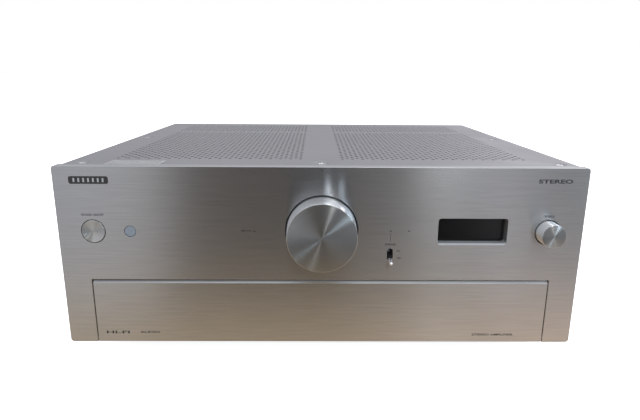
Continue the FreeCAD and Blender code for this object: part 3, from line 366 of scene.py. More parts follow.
# CAD nodes that stay visible, by finish.
CAD_FINISH = {
    "panel_metal": ("front_panel", "door"),
    "cover_paint": ("side_panel_left", "side_panel_right"),
    "rear_paint": ("rear_panel", "front_chassis", "heatsink_left", "heatsink_right"),
    "plated_sheet": ("bottom_plate",),
    "screw_steel": ("base_screws", "door_hinge_pins", "door_strikes", "volume_shaft", "input_shaft"),
    "chrome": ("door_magnets", "toggle_lever"),
    "tin": ("volume_encoder", "input_encoder", "tone_pots", "inlet_pins"),
    "rubber": ("foot_pads",),
    "black_plastic": ("control_tray", "power_switch", "toggle_switch", "display_module", "rca_blocks",
                      "power_inlet", "power_transistors", "phono_slider", "speaker_button",
                      "dimmer_button", "headphone_jack"),
    "eye": ("ir_window",),
    "lamp": ("indicator_lenses",),
    "display_black": ("display_glass",),
    "board_green": ("control_board", "amp_board", "main_board"),
    "core_steel": ("transformer_core",),
    "winding": ("transformer_winding",),
    "sleeve_blue": ("filter_capacitors",),
}
for finish, names in CAD_FINISH.items():
    for name in names:
        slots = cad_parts[name].data.materials
        slots.clear()
        slots.append(MATERIALS[finish])


# ---- Mesh helpers ----
def add_object(name, data):
    obj = bpy.data.objects.new(name, data)
    bpy.context.scene.collection.objects.link(obj)
    return obj


def mesh_from(name, bm, material):
    """The bmesh's mesh in one material; the bmesh is freed."""
    mesh = bpy.data.meshes.new(name)
    bm.to_mesh(mesh)
    bm.free()
    mesh.materials.append(material)
    return mesh


def piece(name, bm, finish, body, replaced=(), sharp=30.0):
    """Finish a bmesh whose points are already in the row frame, and put it on its body.

    finish is a name in MATERIALS or a material; edges steeper than sharp degrees stay sharp.
    """
    bmesh.ops.recalc_face_normals(bm, faces=bm.faces)
    mesh = mesh_from(name, bm, MATERIALS[finish] if isinstance(finish, str) else finish)
    mesh.shade_smooth()
    mesh.set_sharp_from_angle(angle=math.radians(sharp))
    obj = add_object(name, mesh)
    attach(obj, body)
    if replaced:
        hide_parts(*replaced)
    return obj


def eased(points, radius, steps):
    """Outline with each inner corner rounded by up to radius."""
    result = [Vector(points[0])]
    for before, corner, after in zip(points, points[1:], points[2:]):
        corner = Vector(corner)
        back, forth = Vector(before) - corner, Vector(after) - corner
        reach = min(radius, back.length * 0.45, forth.length * 0.45)
        start = corner + back.normalized() * reach
        end = corner + forth.normalized() * reach
        for step in range(steps + 1):
            t = step / steps
            result.append(start * (1 - t) ** 2 + corner * 2 * t * (1 - t) + end * t ** 2)
    result.append(Vector(points[-1]))
    return result


def bar(x0, x1, z0, z1):
    return ((x0, z0), (x1, z0), (x1, z1), (x0, z1))


def spokes(radius, sides):
    """Steps from a circle's centre to points round it."""
    angles = [2.0 * math.pi * k / sides for k in range(sides)]
    return [(radius * math.cos(a), radius * math.sin(a)) for a in angles]


def turn(bm, profile, x, height, segments, upright=False, closed=False):
    """Turn (radius, along) points about a line along Y, or an upright one, at a place in mm.

    Along Y, height is the line's height; upright, height is the line's depth.
    """
    rings = []
    for radius, along in profile:
        ring = []
        for across, up in spokes(radius, 1 if radius < 1e-6 else segments):
            if upright:
                ring.append(bm.verts.new(at(x + across, height + up, along)))
            else:
                ring.append(bm.verts.new(at(x + across, along, height + up)))
        rings.append(ring)
    pairs = list(zip(rings, rings[1:]))
    if closed:
        pairs.append((rings[-1], rings[0]))
    for a, b in pairs:
        for k in range(segments):
            n = (k + 1) % segments
            if len(a) == 1 and len(b) == 1:
                continue
            if len(a) == 1:
                bm.faces.new((a[0], b[k], b[n]))
            elif len(b) == 1:
                bm.faces.new((a[k], a[n], b[0]))
            else:
                bm.faces.new((a[k], a[n], b[n], b[k]))


# ---- Top cover ----
HOLE_R = 1.5
HOLE_SIDES = 14
HOLE_PITCH = 8.9
HOLE_ROW = 5.0
VENT_INNER_X = 18.5
VENT_COLUMNS = 19
VENT_BLOCKS = ((44.0, 43), (273.0, 15))  # depth of the first row and count of rows
EDGE_R = 1.5
DISH_R = 6.8
DISH_FLOOR_R = 3.6
DISH_DEPTH = 1.1
DISH_SIDES = 48
CORNER_STEPS = 6


def cover_screw_places():
    """Middles of the cover's screws, from the solids of the CAD screws at the cover's height."""
    high = span("top_cover")[1]
    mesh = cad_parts["case_screws"].data
    groups = {}
    for vertex in mesh.vertices:
        place = (vertex.co - at(0, 0, 0)) / MM
        if place.y < high.y - 20.0:
            key = (round(place.x / 30.0), round(place.y / 30.0))
            groups.setdefault(key, []).append(place)
    centres = []
    for points in groups.values():
        xs, ys = [p.x for p in points], [p.y for p in points]
        centres.append(((min(xs) + max(xs)) / 2.0, (min(ys) + max(ys)) / 2.0))
    return sorted(centres)


def circle(x, y, radius, sides):
    return [Vector((x + dx, y + dy)) for dx, dy in spokes(radius, sides)]


def vent_circles():
    """Staggered holes of both side blocks, in each depth block."""
    loops = []
    for start, rows in VENT_BLOCKS:
        for row in range(rows):
            odd = row % 2
            for column in range(VENT_COLUMNS - odd):
                x = VENT_INNER_X + HOLE_PITCH * (column + 0.5 * odd)
                for side in (-1, 1):
                    loops.append(circle(side * x, start + row * HOLE_ROW, HOLE_R, HOLE_SIDES))
    return loops


def pierced_sheet(bm, outline, loops, height):
    """Flat face at a height with round openings; returns the rim vertices of each opening."""
    points, edges, owner = [], [], []
    for index, loop in enumerate([outline] + loops):
        start = len(points)
        points.extend(loop)
        owner.extend([index] * len(loop))
        edges.extend((start + k, start + (k + 1) % len(loop)) for k in range(len(loop)))
    placed, _, faces, origins, _, _ = delaunay_2d_cdt(points, edges, [], 2, 1e-5)
    verts = [bm.verts.new(at(p.x, p.y, height)) for p in placed]
    source = [owner[ids[0]] for ids in origins]
    for face in faces:
        owners = {source[i] for i in face}
        if len(owners) > 1 or 0 in owners:
            bm.faces.new([verts[i] for i in face])
    where = {ids[0]: i for i, ids in enumerate(origins)}
    rims = []
    start = len(outline)
    for loop in loops:
        rims.append([verts[where[start + k]] for k in range(len(loop))])
        start += len(loop)
    return rims


def join_rims(bm, a, b, finish=0):
    for k in range(len(a)):
        n = (k + 1) % len(a)
        bm.faces.new((a[k], a[n], b[n], b[k])).material_index = finish


def top_cover():
    """Perforated cover: two side blocks of staggered holes whose walls carry near-black painted shade,
    eased long edges, dished screws.
    """
    low, high = span("top_cover")
    screws = cover_screw_places()
    flat_x = high.x - EDGE_R
    outline = [Vector(corner) for corner in bar(-flat_x, flat_x, low.y, high.y)]
    vents = vent_circles()
    bm = bmesh.new()
    dishes = [circle(x, y, DISH_R, DISH_SIDES) for x, y in screws]
    floors = [circle(x, y, DISH_FLOOR_R, DISH_SIDES) for x, y in screws]
    top = pierced_sheet(bm, outline, vents + dishes, high.z)
    under = pierced_sheet(bm, outline, vents + floors, low.z)
    for a, b in zip(top[:len(vents)], under[:len(vents)]):
        # Slot 1 on the vents' walls holds the near-black painted shade.
        join_rims(bm, a, b, 1)
    for (x, y), rim, hole in zip(screws, top[len(vents):], under[len(vents):]):
        previous = rim
        for step in range(1, CORNER_STEPS + 1):
            t = step / CORNER_STEPS
            radius = DISH_R + (DISH_FLOOR_R + 0.2 - DISH_R) * t
            level = high.z - DISH_DEPTH * (0.5 - 0.5 * math.cos(math.pi * t))
            ring = [bm.verts.new(at(p.x, p.y, level)) for p in circle(x, y, radius, DISH_SIDES)]
            join_rims(bm, previous, ring)
            previous = ring
        join_rims(bm, previous, hole)
    for side in (-1, 1):
        edge = [(flat_x, high.z)]
        for step in range(1, CORNER_STEPS + 1):
            a = math.radians(90.0 - 90.0 * step / CORNER_STEPS)
            edge.append((flat_x + EDGE_R * math.cos(a), high.z - EDGE_R + EDGE_R * math.sin(a)))
        edge += [(high.x, low.z), (flat_x, low.z)]
        ends = [[bm.verts.new(at(side * x, y, z)) for x, z in edge] for y in (low.y, high.y)]
        for k in range(len(edge) - 1):
            bm.faces.new((ends[0][k], ends[0][k + 1], ends[1][k + 1], ends[1][k]))
        for end in ends:
            bm.faces.new(end)
    for y in (low.y, high.y):
        bm.faces.new([bm.verts.new(at(x, y, z)) for x, z in bar(-flat_x, flat_x, low.z, high.z)])
    bmesh.ops.remove_doubles(bm, verts=bm.verts, dist=1e-6)
    sheet = piece("top_cover_sheet", bm, "cover_paint", "root", ("top_cover",), 25.0)
    # Second slot: the near-black painted shade on the vent holes' walls.
    sheet.data.materials.append(MATERIALS["hole_wall"])


top_cover()


# ---- Screws ----
HEAD_R = 3.3
COVER_HEAD_RISE = 1.0
REAR_HEAD_RISE = 1.5
REAR_TOP_SCREW = 140.0
REAR_SCREW_IN = 3.0  # from the screws' outermost point to their line
CROSS_HALF = 0.5
CROSS_REACH = 2.1
CROSS_DEPTH = 0.75


def screw_head(bm, centre, out, right, rise):
    """Domed head with a cross recess, looking along out, built as a ring grid."""
    up = out.cross(right)
    rings, segments = 7, 48
    grid = []
    for ring in range(1, rings + 1):
        r = HEAD_R * math.sin(math.pi / 2.0 * ring / rings)
        row = []
        for dx, dy in spokes(r, segments):
            lift = rise * math.sqrt(1.0 - (r / HEAD_R) ** 2 * 0.97)
            if r < CROSS_REACH and min(abs(dx), abs(dy)) < CROSS_HALF:
                lift -= CROSS_DEPTH
            row.append(bm.verts.new(centre + (right * dx + up * dy + out * lift) * MM))
        grid.append(row)
    hub = bm.verts.new(centre + out * (rise - CROSS_DEPTH) * MM)
    for k in range(segments):
        bm.faces.new((hub, grid[0][k], grid[0][(k + 1) % segments]))
    for a, b in zip(grid, grid[1:]):
        join_rims(bm, a, b)
    base = [bm.verts.new(v.co - out * (rise * 0.5) * MM) for v in grid[-1]]
    join_rims(bm, grid[-1], base)
    bm.faces.new(base)


def case_screws():
    """Cover and rear screws with their drive recesses."""
    bm = bmesh.new()
    cover_top = span("top_cover")[1].z
    for x, y in cover_screw_places():
        screw_head(bm, at(x, y, cover_top - DISH_DEPTH), Vector((0, 0, 1)), Vector((0.8, 0.6, 0)),
                   COVER_HEAD_RISE)
    low, high = span("case_screws")
    lowest = low.z + REAR_SCREW_IN
    for side in (-1, 1):
        x = side * (high.x - REAR_SCREW_IN)
        for height in (lowest, (lowest + REAR_TOP_SCREW) / 2.0, REAR_TOP_SCREW):
            screw_head(bm, at(x, REAR_FACE, height), Vector((0, 1, 0)), Vector((-0.9, 0, 0.43)),
                       REAR_HEAD_RISE)
    piece("case_screw_heads", bm, "screw_steel", "root", ("case_screws",), 50.0)


case_screws()


# ---- Knobs ----
SHAFT_BORE_R = 3.02
DISH_EDGE_R = 9.2
BUTTON_DISH = 0.75
CAP_BACK = 5.0
STEM_R = 4.0
POWER_SILVER = (0.50, 0.51, 0.51)


def front_control(node, body, metal_name, profile, segments, roughness, *look, colour=KNOB_SILVER):
    """Turn a profile about a front control's own line; the piece takes the CAD node's place."""
    centre = middle(node)
    line = at(centre.x, 0, centre.z)
    metal = spun(metal_name, colour, roughness, (line.x, 0.0, line.z), *look)
    bm = bmesh.new()
    turn(bm, profile, centre.x, centre.z, segments)
    piece(node + "_turned", bm, metal, body, (node,), 25.0)


def volume_knob():
    """Large turned knob: flat spun face, bright chamfer, plain side, hollow behind."""
    _, radius, front, back = round_part("volume_knob")
    profile = eased([(0, front), (radius - 0.5, front), (radius, front + 0.5), (radius + 0.8, back),
                     (radius - 4.0, back), (radius - 4.0, front + 5.0), (9.0, front + 5.0),
                     (9.0, back - 1.0), (SHAFT_BORE_R, back - 1.0), (SHAFT_BORE_R, front + 8.0),
                     (0, front + 8.0)], 0.15, 2)
    front_control("volume_knob", "volume", "volume_metal", profile, 192, 0.26)


def input_knob():
    """Small turned knob with a straight side."""
    _, radius, front, back = round_part("input_knob")
    profile = eased([(0, front), (radius - 0.3, front), (radius, front + 0.3), (radius, back),
                     (SHAFT_BORE_R, back), (SHAFT_BORE_R, front + 5.0), (0, front + 5.0)], 0.12, 2)
    front_control("input_knob", "input_selector", "input_metal", profile, 128, 0.30, 0.93, 0.17)


def power_button():
    """Cap with a shallow dish turned in its face, and its stem."""
    _, radius, front, back = round_part("power_button")
    dish = []
    for step in range(12):
        share = step / 12.0
        dish.append((DISH_EDGE_R * share, front + BUTTON_DISH * (1.0 - share ** 2)))
    profile = dish + eased([(DISH_EDGE_R, front), (radius - 0.15, front), (radius, front + 0.2),
                            (radius, CAP_BACK), (STEM_R, CAP_BACK), (STEM_R, back), (0, back)],
                           0.12, 2)
    front_control("power_button", "power_key", "power_metal", profile, 128, 0.33, colour=POWER_SILVER)


volume_knob()
input_knob()
power_button()


# ---- Prints ----
def words(name, text, x, height, tall, body="root", face=0.0, finish="print_dark",
          slot="panel_aluminium", rear=False, bold=0.022, wide=None):
    """Printed word, centred at (x, height), as a thin raised solid on a face at a depth."""
    curve = bpy.data.curves.new(name + "_curve", "FONT")
    curve.body = text
    curve.align_x = "CENTER"
    curve.size = 1.0
    curve.resolution_u = 3
    curve.offset = bold
    holder = add_object(name + "_holder", curve)
    graph = bpy.context.evaluated_depsgraph_get()
    mesh = bpy.data.meshes.new_from_object(holder.evaluated_get(graph))
    bpy.data.objects.remove(holder)
    xs, ys = zip(*((v.co.x, v.co.y) for v in mesh.vertices))
    mid_x, mid_y = (min(xs) + max(xs)) / 2.0, (min(ys) + max(ys)) / 2.0
    scale_y = tall / (max(ys) - min(ys))
    scale_x = scale_y if wide is None else wide / (max(xs) - min(xs))
    bm = bmesh.new()
    bm.from_mesh(mesh)
    bpy.data.meshes.remove(mesh)
    bmesh.ops.remove_doubles(bm, verts=bm.verts, dist=1e-5)
    direction = -1.0 if rear else 1.0
    for vertex in bm.verts:
        across = (vertex.co.x - mid_x) * scale_x * direction
        up = (vertex.co.y - mid_y) * scale_y
        vertex.co = at(x + across, face, height + up)
    raised = bmesh.ops.extrude_face_region(bm, geom=bm.faces[:])
    lifted = [item for item in raised["geom"] if isinstance(item, bmesh.types.BMVert)]
    bmesh.ops.translate(bm, verts=lifted, vec=Vector((0, -SKIN * MM * direction, 0)))
    piece(name, bm, finish, body)


def pale_words(prefix, prints, face, slot, rear=False):
    """Words from a list of (name, text, x, height, tall)."""
    for name, *rest in prints:
        words(prefix + name, *rest, face=face, finish="print_pale", slot=slot, rear=rear)


def strip(name, corners, body="root", face=0.0, finish="print_dark"):
    """Thin printed shape from an outline of (x, height) points."""
    bm = bmesh.new()
    base, lid = ([bm.verts.new(at(x, depth, height)) for x, height in corners]
                 for depth in (face, face - SKIN))
    bm.faces.new(base)
    bm.faces.new(lid)
    join_rims(bm, base, lid)
    piece(name, bm, finish, body)


def rounded(x0, x1, z0, z1, radius):
    points = []
    for cx, cz, start in ((x1 - radius, z1 - radius, 0.0), (x0 + radius, z1 - radius, 90.0),
                          (x0 + radius, z0 + radius, 180.0), (x1 - radius, z0 + radius, 270.0)):
        for k in range(CORNER_STEPS + 1):
            a = math.radians(start + 90.0 * k / CORNER_STEPS)
            points.append((cx + radius * math.cos(a), cz + radius * math.sin(a)))
    return points


BADGE_BARS = 7
BADGE_PITCH = 3.9


def front_prints():
    """Generic words and marks where the front carries its printing."""
    words("print_power", "POWER ON/OFF", -187.7, 114.4, 1.9, bold=0.018, wide=18.0)
    words("print_source", "SOURCE", 188.1, 114.5, 1.6, wide=8.0)
    words("print_mute", "MUTE", -62.4, 101.2, 1.6, wide=8.0, bold=0.035)
    words("print_bypass", "BYPASS", 57.3, 89.8, 1.6, wide=8.7)
    words("print_on", "ON", 64.1, 84.1, 1.5)
    words("print_off", "OFF", 64.7, 77.8, 1.5)
    words("print_stereo", "STEREO", 190.0, 143.8, 3.4, wide=28.0, bold=0.035)
    strip("print_pointer_line", bar(57.05, 57.35, 92.4, 98.8))
    strip("badge_plate", rounded(-204.4, -172.4, 140.2, 146.5, 1.8))
    for k in range(BADGE_BARS):
        x = -188.4 + BADGE_PITCH * (k - BADGE_BARS // 2)
        strip("badge_bar_%d" % (k + 1), bar(x - 0.7, x + 0.7, 141.7, 145.0), face=-SKIN,
              finish="badge_metal")
    words("print_door_left", "HI-FI", -175.9, 9.2, 2.6, "door_leaf", wide=20.0)
    words("print_door_audio", "AUDIO", -148.4, 9.3, 2.0, "door_leaf", wide=17.0)
    words("print_door_right", "STEREO AMPLIFIER", 149.8, 7.4, 2.0, "door_leaf", wide=36.0)


front_prints()


# ---- Cover label ----
FILM_THICK = 0.08
FILM_HIGHEST = 0.45  # above the cover, at the lifted edge


def border(grid):
    """Points round a grid's edge, in order."""
    return (grid[0] + [row[-1] for row in grid[1:-1]] + grid[-1][::-1]
            + [row[0] for row in grid[-2:0:-1]])


def cover_label():
    """Blank clear film stuck near the cover's front left corner, a little lifted at one edge."""
    top = span("top_cover")[1].z
    x0, x1, y0, y1 = LABEL
    columns, rows = 24, 12
    bm = bmesh.new()
    layers = []
    for lift in (0.0, FILM_THICK):
        grid = []
        for j in range(rows + 1):
            row = []
            for i in range(columns + 1):
                u, v = i / columns, j / rows
                curl = 0.35 * max(0.0, u - 0.8) ** 2 / 0.04 * (0.4 + 0.6 * (1 - v))
                wave = 0.05 * math.sin(9.0 * u) * math.sin(5.0 * v + 1.0)
                height = min(top + 0.02 + lift + max(0.0, wave) + curl, top + FILM_HIGHEST)
                row.append(bm.verts.new(at(x0 + (x1 - x0) * u, y0 + (y1 - y0) * v, height)))
            grid.append(row)
        for a, b in zip(grid, grid[1:]):
            for k in range(columns):
                bm.faces.new((a[k], a[k + 1], b[k + 1], b[k]))
        layers.append(grid)
    join_rims(bm, border(layers[0]), border(layers[1]))
    piece("cover_label", bm, "film", "root", sharp=40.0)


cover_label()


# ---- Feet ----
FOOT_R = 30.0
PAD_R = 23.0


def feet():
    """Turned feet with a grooved side and a recess for the pad."""
    for place in ("front_left", "front_right", "rear_left", "rear_right"):
        node = "foot_" + place
        low, high = span(node)
        centre = middle(node)
        side = [(FOOT_R - inward, high.z - down) for inward, down in (
            (0.6, 0.0), (0.0, 1.0), (0.5, 6.0), (1.0, 6.4), (1.0, 7.2), (0.6, 7.6))]
        profile = eased([(5.0, high.z)] + side + [
            (FOOT_R - 1.8, low.z + 1.2), (FOOT_R - 3.0, low.z), (PAD_R + 0.1, low.z),
            (PAD_R, low.z + 2.0), (5.0, low.z + 2.0)], 0.4, 3)
        bm = bmesh.new()
        turn(bm, profile, centre.x, centre.y, 96, True, True)
        piece(node + "_turned", bm, "black_plastic", "root", (node,))


feet()


# ---- Rear terminals ----
GRIP_SEGMENTS = 144
POST_R = 8.5
POST_NECK_R = 7.2
POST_BORE_R = 4.02
POST_RING = 3.4  # length of the metal ring at a cap's end
COLLAR_R = 9.2
COLLAR_LONG = 6.0
STUD_R = 3.95
STUD_ROOT_R = 3.6
GROUND_R = 5.5
SOCKETS = 6
SOCKET_FLANGE_R = 5.6
SOCKET_R = 4.15
SOCKET_BORE_R = 3.35


def fluting(radius, flutes, depth):
    """Shares of a radius round a grip with smooth flutes."""
    return [1.0 - depth / radius * max(0.0, math.cos(flutes * 2 * math.pi * k / GRIP_SEGMENTS)) ** 2
            for k in range(GRIP_SEGMENTS)]


def grip(centre, profile, shares):
    """Fluted body: each profile point's radius is scaled round the circle where it's marked."""
    bm = bmesh.new()
    rings = []
    for radius, depth, fluted in profile:
        ring = []
        for share, (dx, dz) in zip(shares, spokes(radius, GRIP_SEGMENTS)):
            share = share if fluted else 1.0
            ring.append(bm.verts.new(at(centre.x + dx * share, depth, centre.z + dz * share)))
        rings.append(ring)
    for a, b in zip(rings, rings[1:] + rings[:1]):
        join_rims(bm, a, b)
    return bm


def closed_turn(bm, points, bevel, steps, x, height, segments):
    """Turn an eased outline that runs round a ring's whole section."""
    turn(bm, eased(points, bevel, steps), x, height, segments, closed=True)


def stud(bm, x, height, tip):
    """Threaded stud that stands out of the rear panel up to its tip."""
    profile = [(0.0, tip - 18.0), (2.0, tip - 18.0), (2.0, tip), (STUD_ROOT_R, tip),
               (STUD_R, tip - 0.35)]
    depth = tip - 0.8
    while depth > REAR_FACE + 6.2:
        profile += [(STUD_R, depth), (STUD_ROOT_R, depth - 0.3), (STUD_ROOT_R, depth - 0.5),
                    (STUD_R, depth - 0.8)]
        depth -= 1.0
    profile += [(STUD_R, REAR_FACE - 8.0), (0.0, REAR_FACE - 8.0)]
    turn(bm, profile, x, height, 48)


def speaker_posts():
    """Fluted caps with a metal end ring; collars and threaded studs on the panel."""
    shares = fluting(POST_R, 12, 0.9)
    collars = {"red": bmesh.new(), "black": bmesh.new()}
    studs = bmesh.new()
    for side in ("left", "right"):
        for pole, colour in (("minus", "black"), ("plus", "red")):
            place = "%s_%s" % (side, pole)
            node = "post_cap_" + place
            centre, _, front, end = round_part(node)
            neck = end - POST_RING
            bm = grip(centre, [(POST_BORE_R, front, False), (7.4, front, False),
                               (8.1, front + 0.5, True), (POST_R, front + 1.2, True),
                               (POST_R, neck - 1.0, True), (8.0, neck - 0.2, True),
                               (POST_NECK_R, neck, False), (POST_BORE_R, neck, False)], shares)
            cap = "cap_" + place
            piece("speaker_" + cap, bm, "grip_" + colour, cap, (node,), 35.0)
            bm = bmesh.new()
            closed_turn(bm, [(POST_BORE_R, neck + 0.02), (POST_NECK_R, neck + 0.02), (7.4, neck + 0.4),
                             (7.4, end - 0.5), (6.9, end), (4.4, end), (POST_BORE_R, end - 0.4)],
                        0.15, 2, centre.x, centre.z, 96)
            piece("speaker_ring_" + place, bm, "gold", cap)
            closed_turn(collars[colour], [(4.0, REAR_FACE), (COLLAR_R, REAR_FACE),
                                          (COLLAR_R, REAR_FACE + COLLAR_LONG - 1.4),
                                          (COLLAR_R - 0.8, REAR_FACE + COLLAR_LONG),
                                          (4.0, REAR_FACE + COLLAR_LONG)],
                        0.3, 3, centre.x, centre.z, 96)
            stud(studs, centre.x, centre.z, end - 0.5)
    ground = middle("ground_knob")
    turn(studs, eased([(0, REAR_FACE + 12.0), (1.95, REAR_FACE + 12.0), (1.95, REAR_FACE + 1.5),
                       (5.0, REAR_FACE + 1.5), (5.0, REAR_FACE), (0, REAR_FACE)], 0.15, 2),
         ground.x, ground.z, 48)
    piece("speaker_studs", studs, "gold", "root", ("post_studs",))
    for colour, bm in collars.items():
        piece("speaker_collars_" + colour, bm, "grip_" + colour, "root", ("post_studs",))


def ground_terminal():
    """Finely fluted metal cap."""
    centre, _, front, end = round_part("ground_knob")
    bm = grip(centre, [(2.0, front, False), (4.9, front, False), (GROUND_R, front + 0.6, True),
                       (GROUND_R, end - 0.8, True), (4.7, end, False), (2.0, end, False)],
              fluting(GROUND_R, 24, 0.5))
    piece("ground_cap", bm, "gold", "ground_cap", ("ground_knob",), 35.0)


def socket_columns():
    """Middles across of the line sockets' columns."""
    low, high = span("rca_sleeves")
    step = (high.x - low.x - 2.0 * SOCKET_FLANGE_R) / (SOCKETS - 1)
    return [low.x + SOCKET_FLANGE_R + step * column for column in range(SOCKETS)]


def line_sockets():
    """Gold sleeves with coloured cores, white above red."""
    low, high = span("rca_sleeves")
    rear, end = REAR_FACE, high.y
    sleeves = bmesh.new()
    cores = {"white": bmesh.new(), "red": bmesh.new()}
    for x in socket_columns():
        for height, tone in ((high.z - SOCKET_FLANGE_R, "white"), (low.z + SOCKET_FLANGE_R, "red")):
            closed_turn(sleeves, [(SOCKET_BORE_R, rear - 1.5), (SOCKET_R, rear - 1.5), (SOCKET_R, rear),
                                  (SOCKET_FLANGE_R, rear), (SOCKET_FLANGE_R, rear + 1.0),
                                  (SOCKET_R, rear + 1.0), (SOCKET_R, end - 0.4), (3.9, end),
                                  (3.55, end), (SOCKET_BORE_R, end - 0.3)], 0.12, 2, x, height, 64)
            closed_turn(cores[tone], [(1.6, rear - 5.0), (1.6, end - 0.5), (3.3, end - 0.5),
                                      (3.3, rear - 5.0)], 0.15, 2, x, height, 48)
    piece("line_socket_sleeves", sleeves, "gold", "root", ("rca_sleeves",))
    piece("line_socket_cores_white", cores["white"], "white_plastic", "root")
    piece("line_socket_cores_red", cores["red"], "grip_red", "root")


speaker_posts()
ground_terminal()
line_sockets()


# ---- Controls behind the door ----
TONE_SKIRT = 10.0
TRAY_TITLES = 43.5
TRAY_BACK = 2.0  # thickness of the tray's back wall


def tone_knobs():
    """Ribbed knobs with a pale pointer line."""
    for name in ("bass", "treble", "balance"):
        node = name + "_knob"
        centre, radius, front, end = round_part(node)
        back = front + TONE_SKIRT
        bm = grip(centre, [(0.001, front, False), (radius - 1.2, front, False),
                           (radius - 0.5, front + 0.3, False), (radius, front + 1.0, True),
                           (radius, back, True), (3.0, back, False), (3.0, end, False),
                           (0.001, end, False)], fluting(radius, 24, 0.35))
        bmesh.ops.remove_doubles(bm, verts=bm.verts, dist=1e-5)
        body = name + "_control"
        piece("tone_knob_" + name, bm, "black_plastic", body, (node,), 35.0)
        pointer = bar(centre.x - 0.35, centre.x + 0.35, centre.z + 1.6, centre.z + radius - 1.3)
        strip("tone_pointer_" + name, pointer, body, front, "print_pale")


def tray_prints():
    """Pale words above and beside the controls in the tray."""
    back = span("control_tray")[1].y - TRAY_BACK
    slider = middle("phono_slider").x + 2.0
    prints = [(name, name.upper(), middle(node).x, TRAY_TITLES, 2.2) for name, node in (
        ("phones", "headphone_jack"), ("speakers", "speaker_button"), ("bass", "bass_knob"),
        ("treble", "treble_knob"), ("balance", "balance_knob"), ("dimmer", "dimmer_button"))]
    prints += [("phono", "PHONO", slider, TRAY_TITLES, 2.2), ("mm", "MM", slider - 8.5, 30.0, 1.8),
               ("mc", "MC", slider + 8.5, 30.0, 1.8)]
    pale_words("print_tray_", prints, back, "tray_plastic")


tone_knobs()
tray_prints()


# ---- Rear prints ----
def rear_prints():
    """Pale words above the sockets, terminals and inlet."""
    titles = ("PHONO", "LINE 1", "LINE 2", "LINE 3", "REC OUT", "PRE OUT")
    prints = [(str(k + 1), titles[k], x, 136.5, 2.0) for k, x in enumerate(socket_columns())]
    prints += [("left", "L", 59.5, 126.0, 2.4), ("right", "R", 59.5, 104.0, 2.4),
               ("speakers_left", "SPEAKER LEFT", 108.0, 61.5, 2.2),
               ("speakers_right", "SPEAKER RIGHT", -12.0, 61.5, 2.2),
               ("inlet", "AC IN", middle("power_inlet").x, 63.5, 2.2),
               ("ground", "GND", 188.0, 70.0, 2.0)]
    pale_words("print_rear_", prints, REAR_FACE, "rear_paint", True)


rear_prints()


# ---- Stage, light and camera ----
FLOOR_GLOW = 0.85
FLOOR_REACH = 30.0
TABLE_LEFT = (0.72, 0.555, 0.365)
TABLE_RIGHT = (1.16, 0.87, 0.655)
TABLE_TURN = (-0.05, 0.35)  # where across, in metres, the left colour turns into the right one
TABLE_STRENGTH = (0.72, 1.10)  # far from the panel and at its foot
TABLE_REACH = 0.165
TABLE_SIDE = 0.9
TABLE_UP = 0.002
STREAKS = ((5.0, 4.5, 1.3), (17.0, 4.5, 0.75))  # x, half width and strength
THROWN_COLOUR = (0.80, 0.90, 1.0)
THROWN_WIDE = 24.0
THROWN_LOW = 131.0
THROWN_HIGH = 145.0
THROWN_OUT = 14.0


def card(name, corners, material, **seen):
    """Flat stage piece from four corners in the row frame; seen switches off kinds of ray."""
    bm = bmesh.new()
    bm.faces.new([bm.verts.new(corner) for corner in corners])
    obj = add_object(name, mesh_from(name, bm, material))
    for kind, value in seen.items():
        setattr(obj, kind, value)


def floor_paper():
    """Pale paper that glows a little, so that it stays near white away from the lights."""
    material, nodes, surface = shaded("floor_paper", (0.86, 0.86, 0.86), 0.0, 0.8)
    fibre = nodes.noise(nodes.object_point(), 40.0, 2.0)
    nodes.put(surface, Base_Color=nodes.mix(fibre, rgba(WHITE, 0.85), rgba(WHITE, 0.87)),
              Emission_Color=rgba(WHITE), Emission_Strength=FLOOR_GLOW)
    return material


def table_glow():
    """Warm table in front of the amplifier, brighter to the right, seen only in reflections."""
    material, nodes = blank("table_glow")
    across, out, _ = nodes.split(nodes.object_point())
    shade = nodes.mix(nodes.ramp(across, *TABLE_TURN), rgba(TABLE_LEFT), rgba(TABLE_RIGHT))
    near = nodes.ramp(out, PANEL_LOW.y - TABLE_REACH, PANEL_LOW.y, *TABLE_STRENGTH)
    nodes.finish(nodes.call("ShaderNodeEmission", shade, near))
    return material


def thrown_light():
    """Two soft streaks that the volume knob's bright side throws on the panel above it."""
    material, nodes = blank("thrown_light")
    across, _, up = nodes.split(nodes.object_point())
    total = 0.0
    for centre, half, strength in STREAKS:
        offset = nodes.math("ABSOLUTE", nodes.math("SUBTRACT", across, at(centre, 0, 0).x))
        total = nodes.math("ADD", total, nodes.ramp(offset, 0.0, half * MM, strength, 0.0))
    fade = nodes.ramp(up, at(0, 0, THROWN_LOW).z, at(0, 0, THROWN_HIGH).z, 1.0, 0.0)
    strength = nodes.math("MULTIPLY", total, fade)
    glow = nodes.call("ShaderNodeEmission", rgba(THROWN_COLOUR), strength)
    nodes.finish(nodes.call("ShaderNodeAddShader", glow, nodes.call("ShaderNodeBsdfTransparent")))
    return material


def studio():
    """White floor, the table's glow in front of the panel and the light above the volume knob."""
    card("floor", [(x, y, 0) for x, y in bar(-FLOOR_REACH, FLOOR_REACH, -FLOOR_REACH, FLOOR_REACH)],
         floor_paper(), visible_glossy=False)
    only_mirrored = {"visible_camera": False, "visible_diffuse": False, "visible_shadow": False}
    far, near = PANEL_LOW.y - TABLE_REACH, PANEL_LOW.y - TABLE_UP
    card("table", [(x, y, TABLE_UP) for x, y in bar(-TABLE_SIDE, TABLE_SIDE, far, near)],
         table_glow(), **only_mirrored)
    card("thrown", [at(x, -THROWN_OUT, z) for x, z in bar(0.0, THROWN_WIDE, THROWN_LOW, THROWN_HIGH)],
         thrown_light(), **only_mirrored)


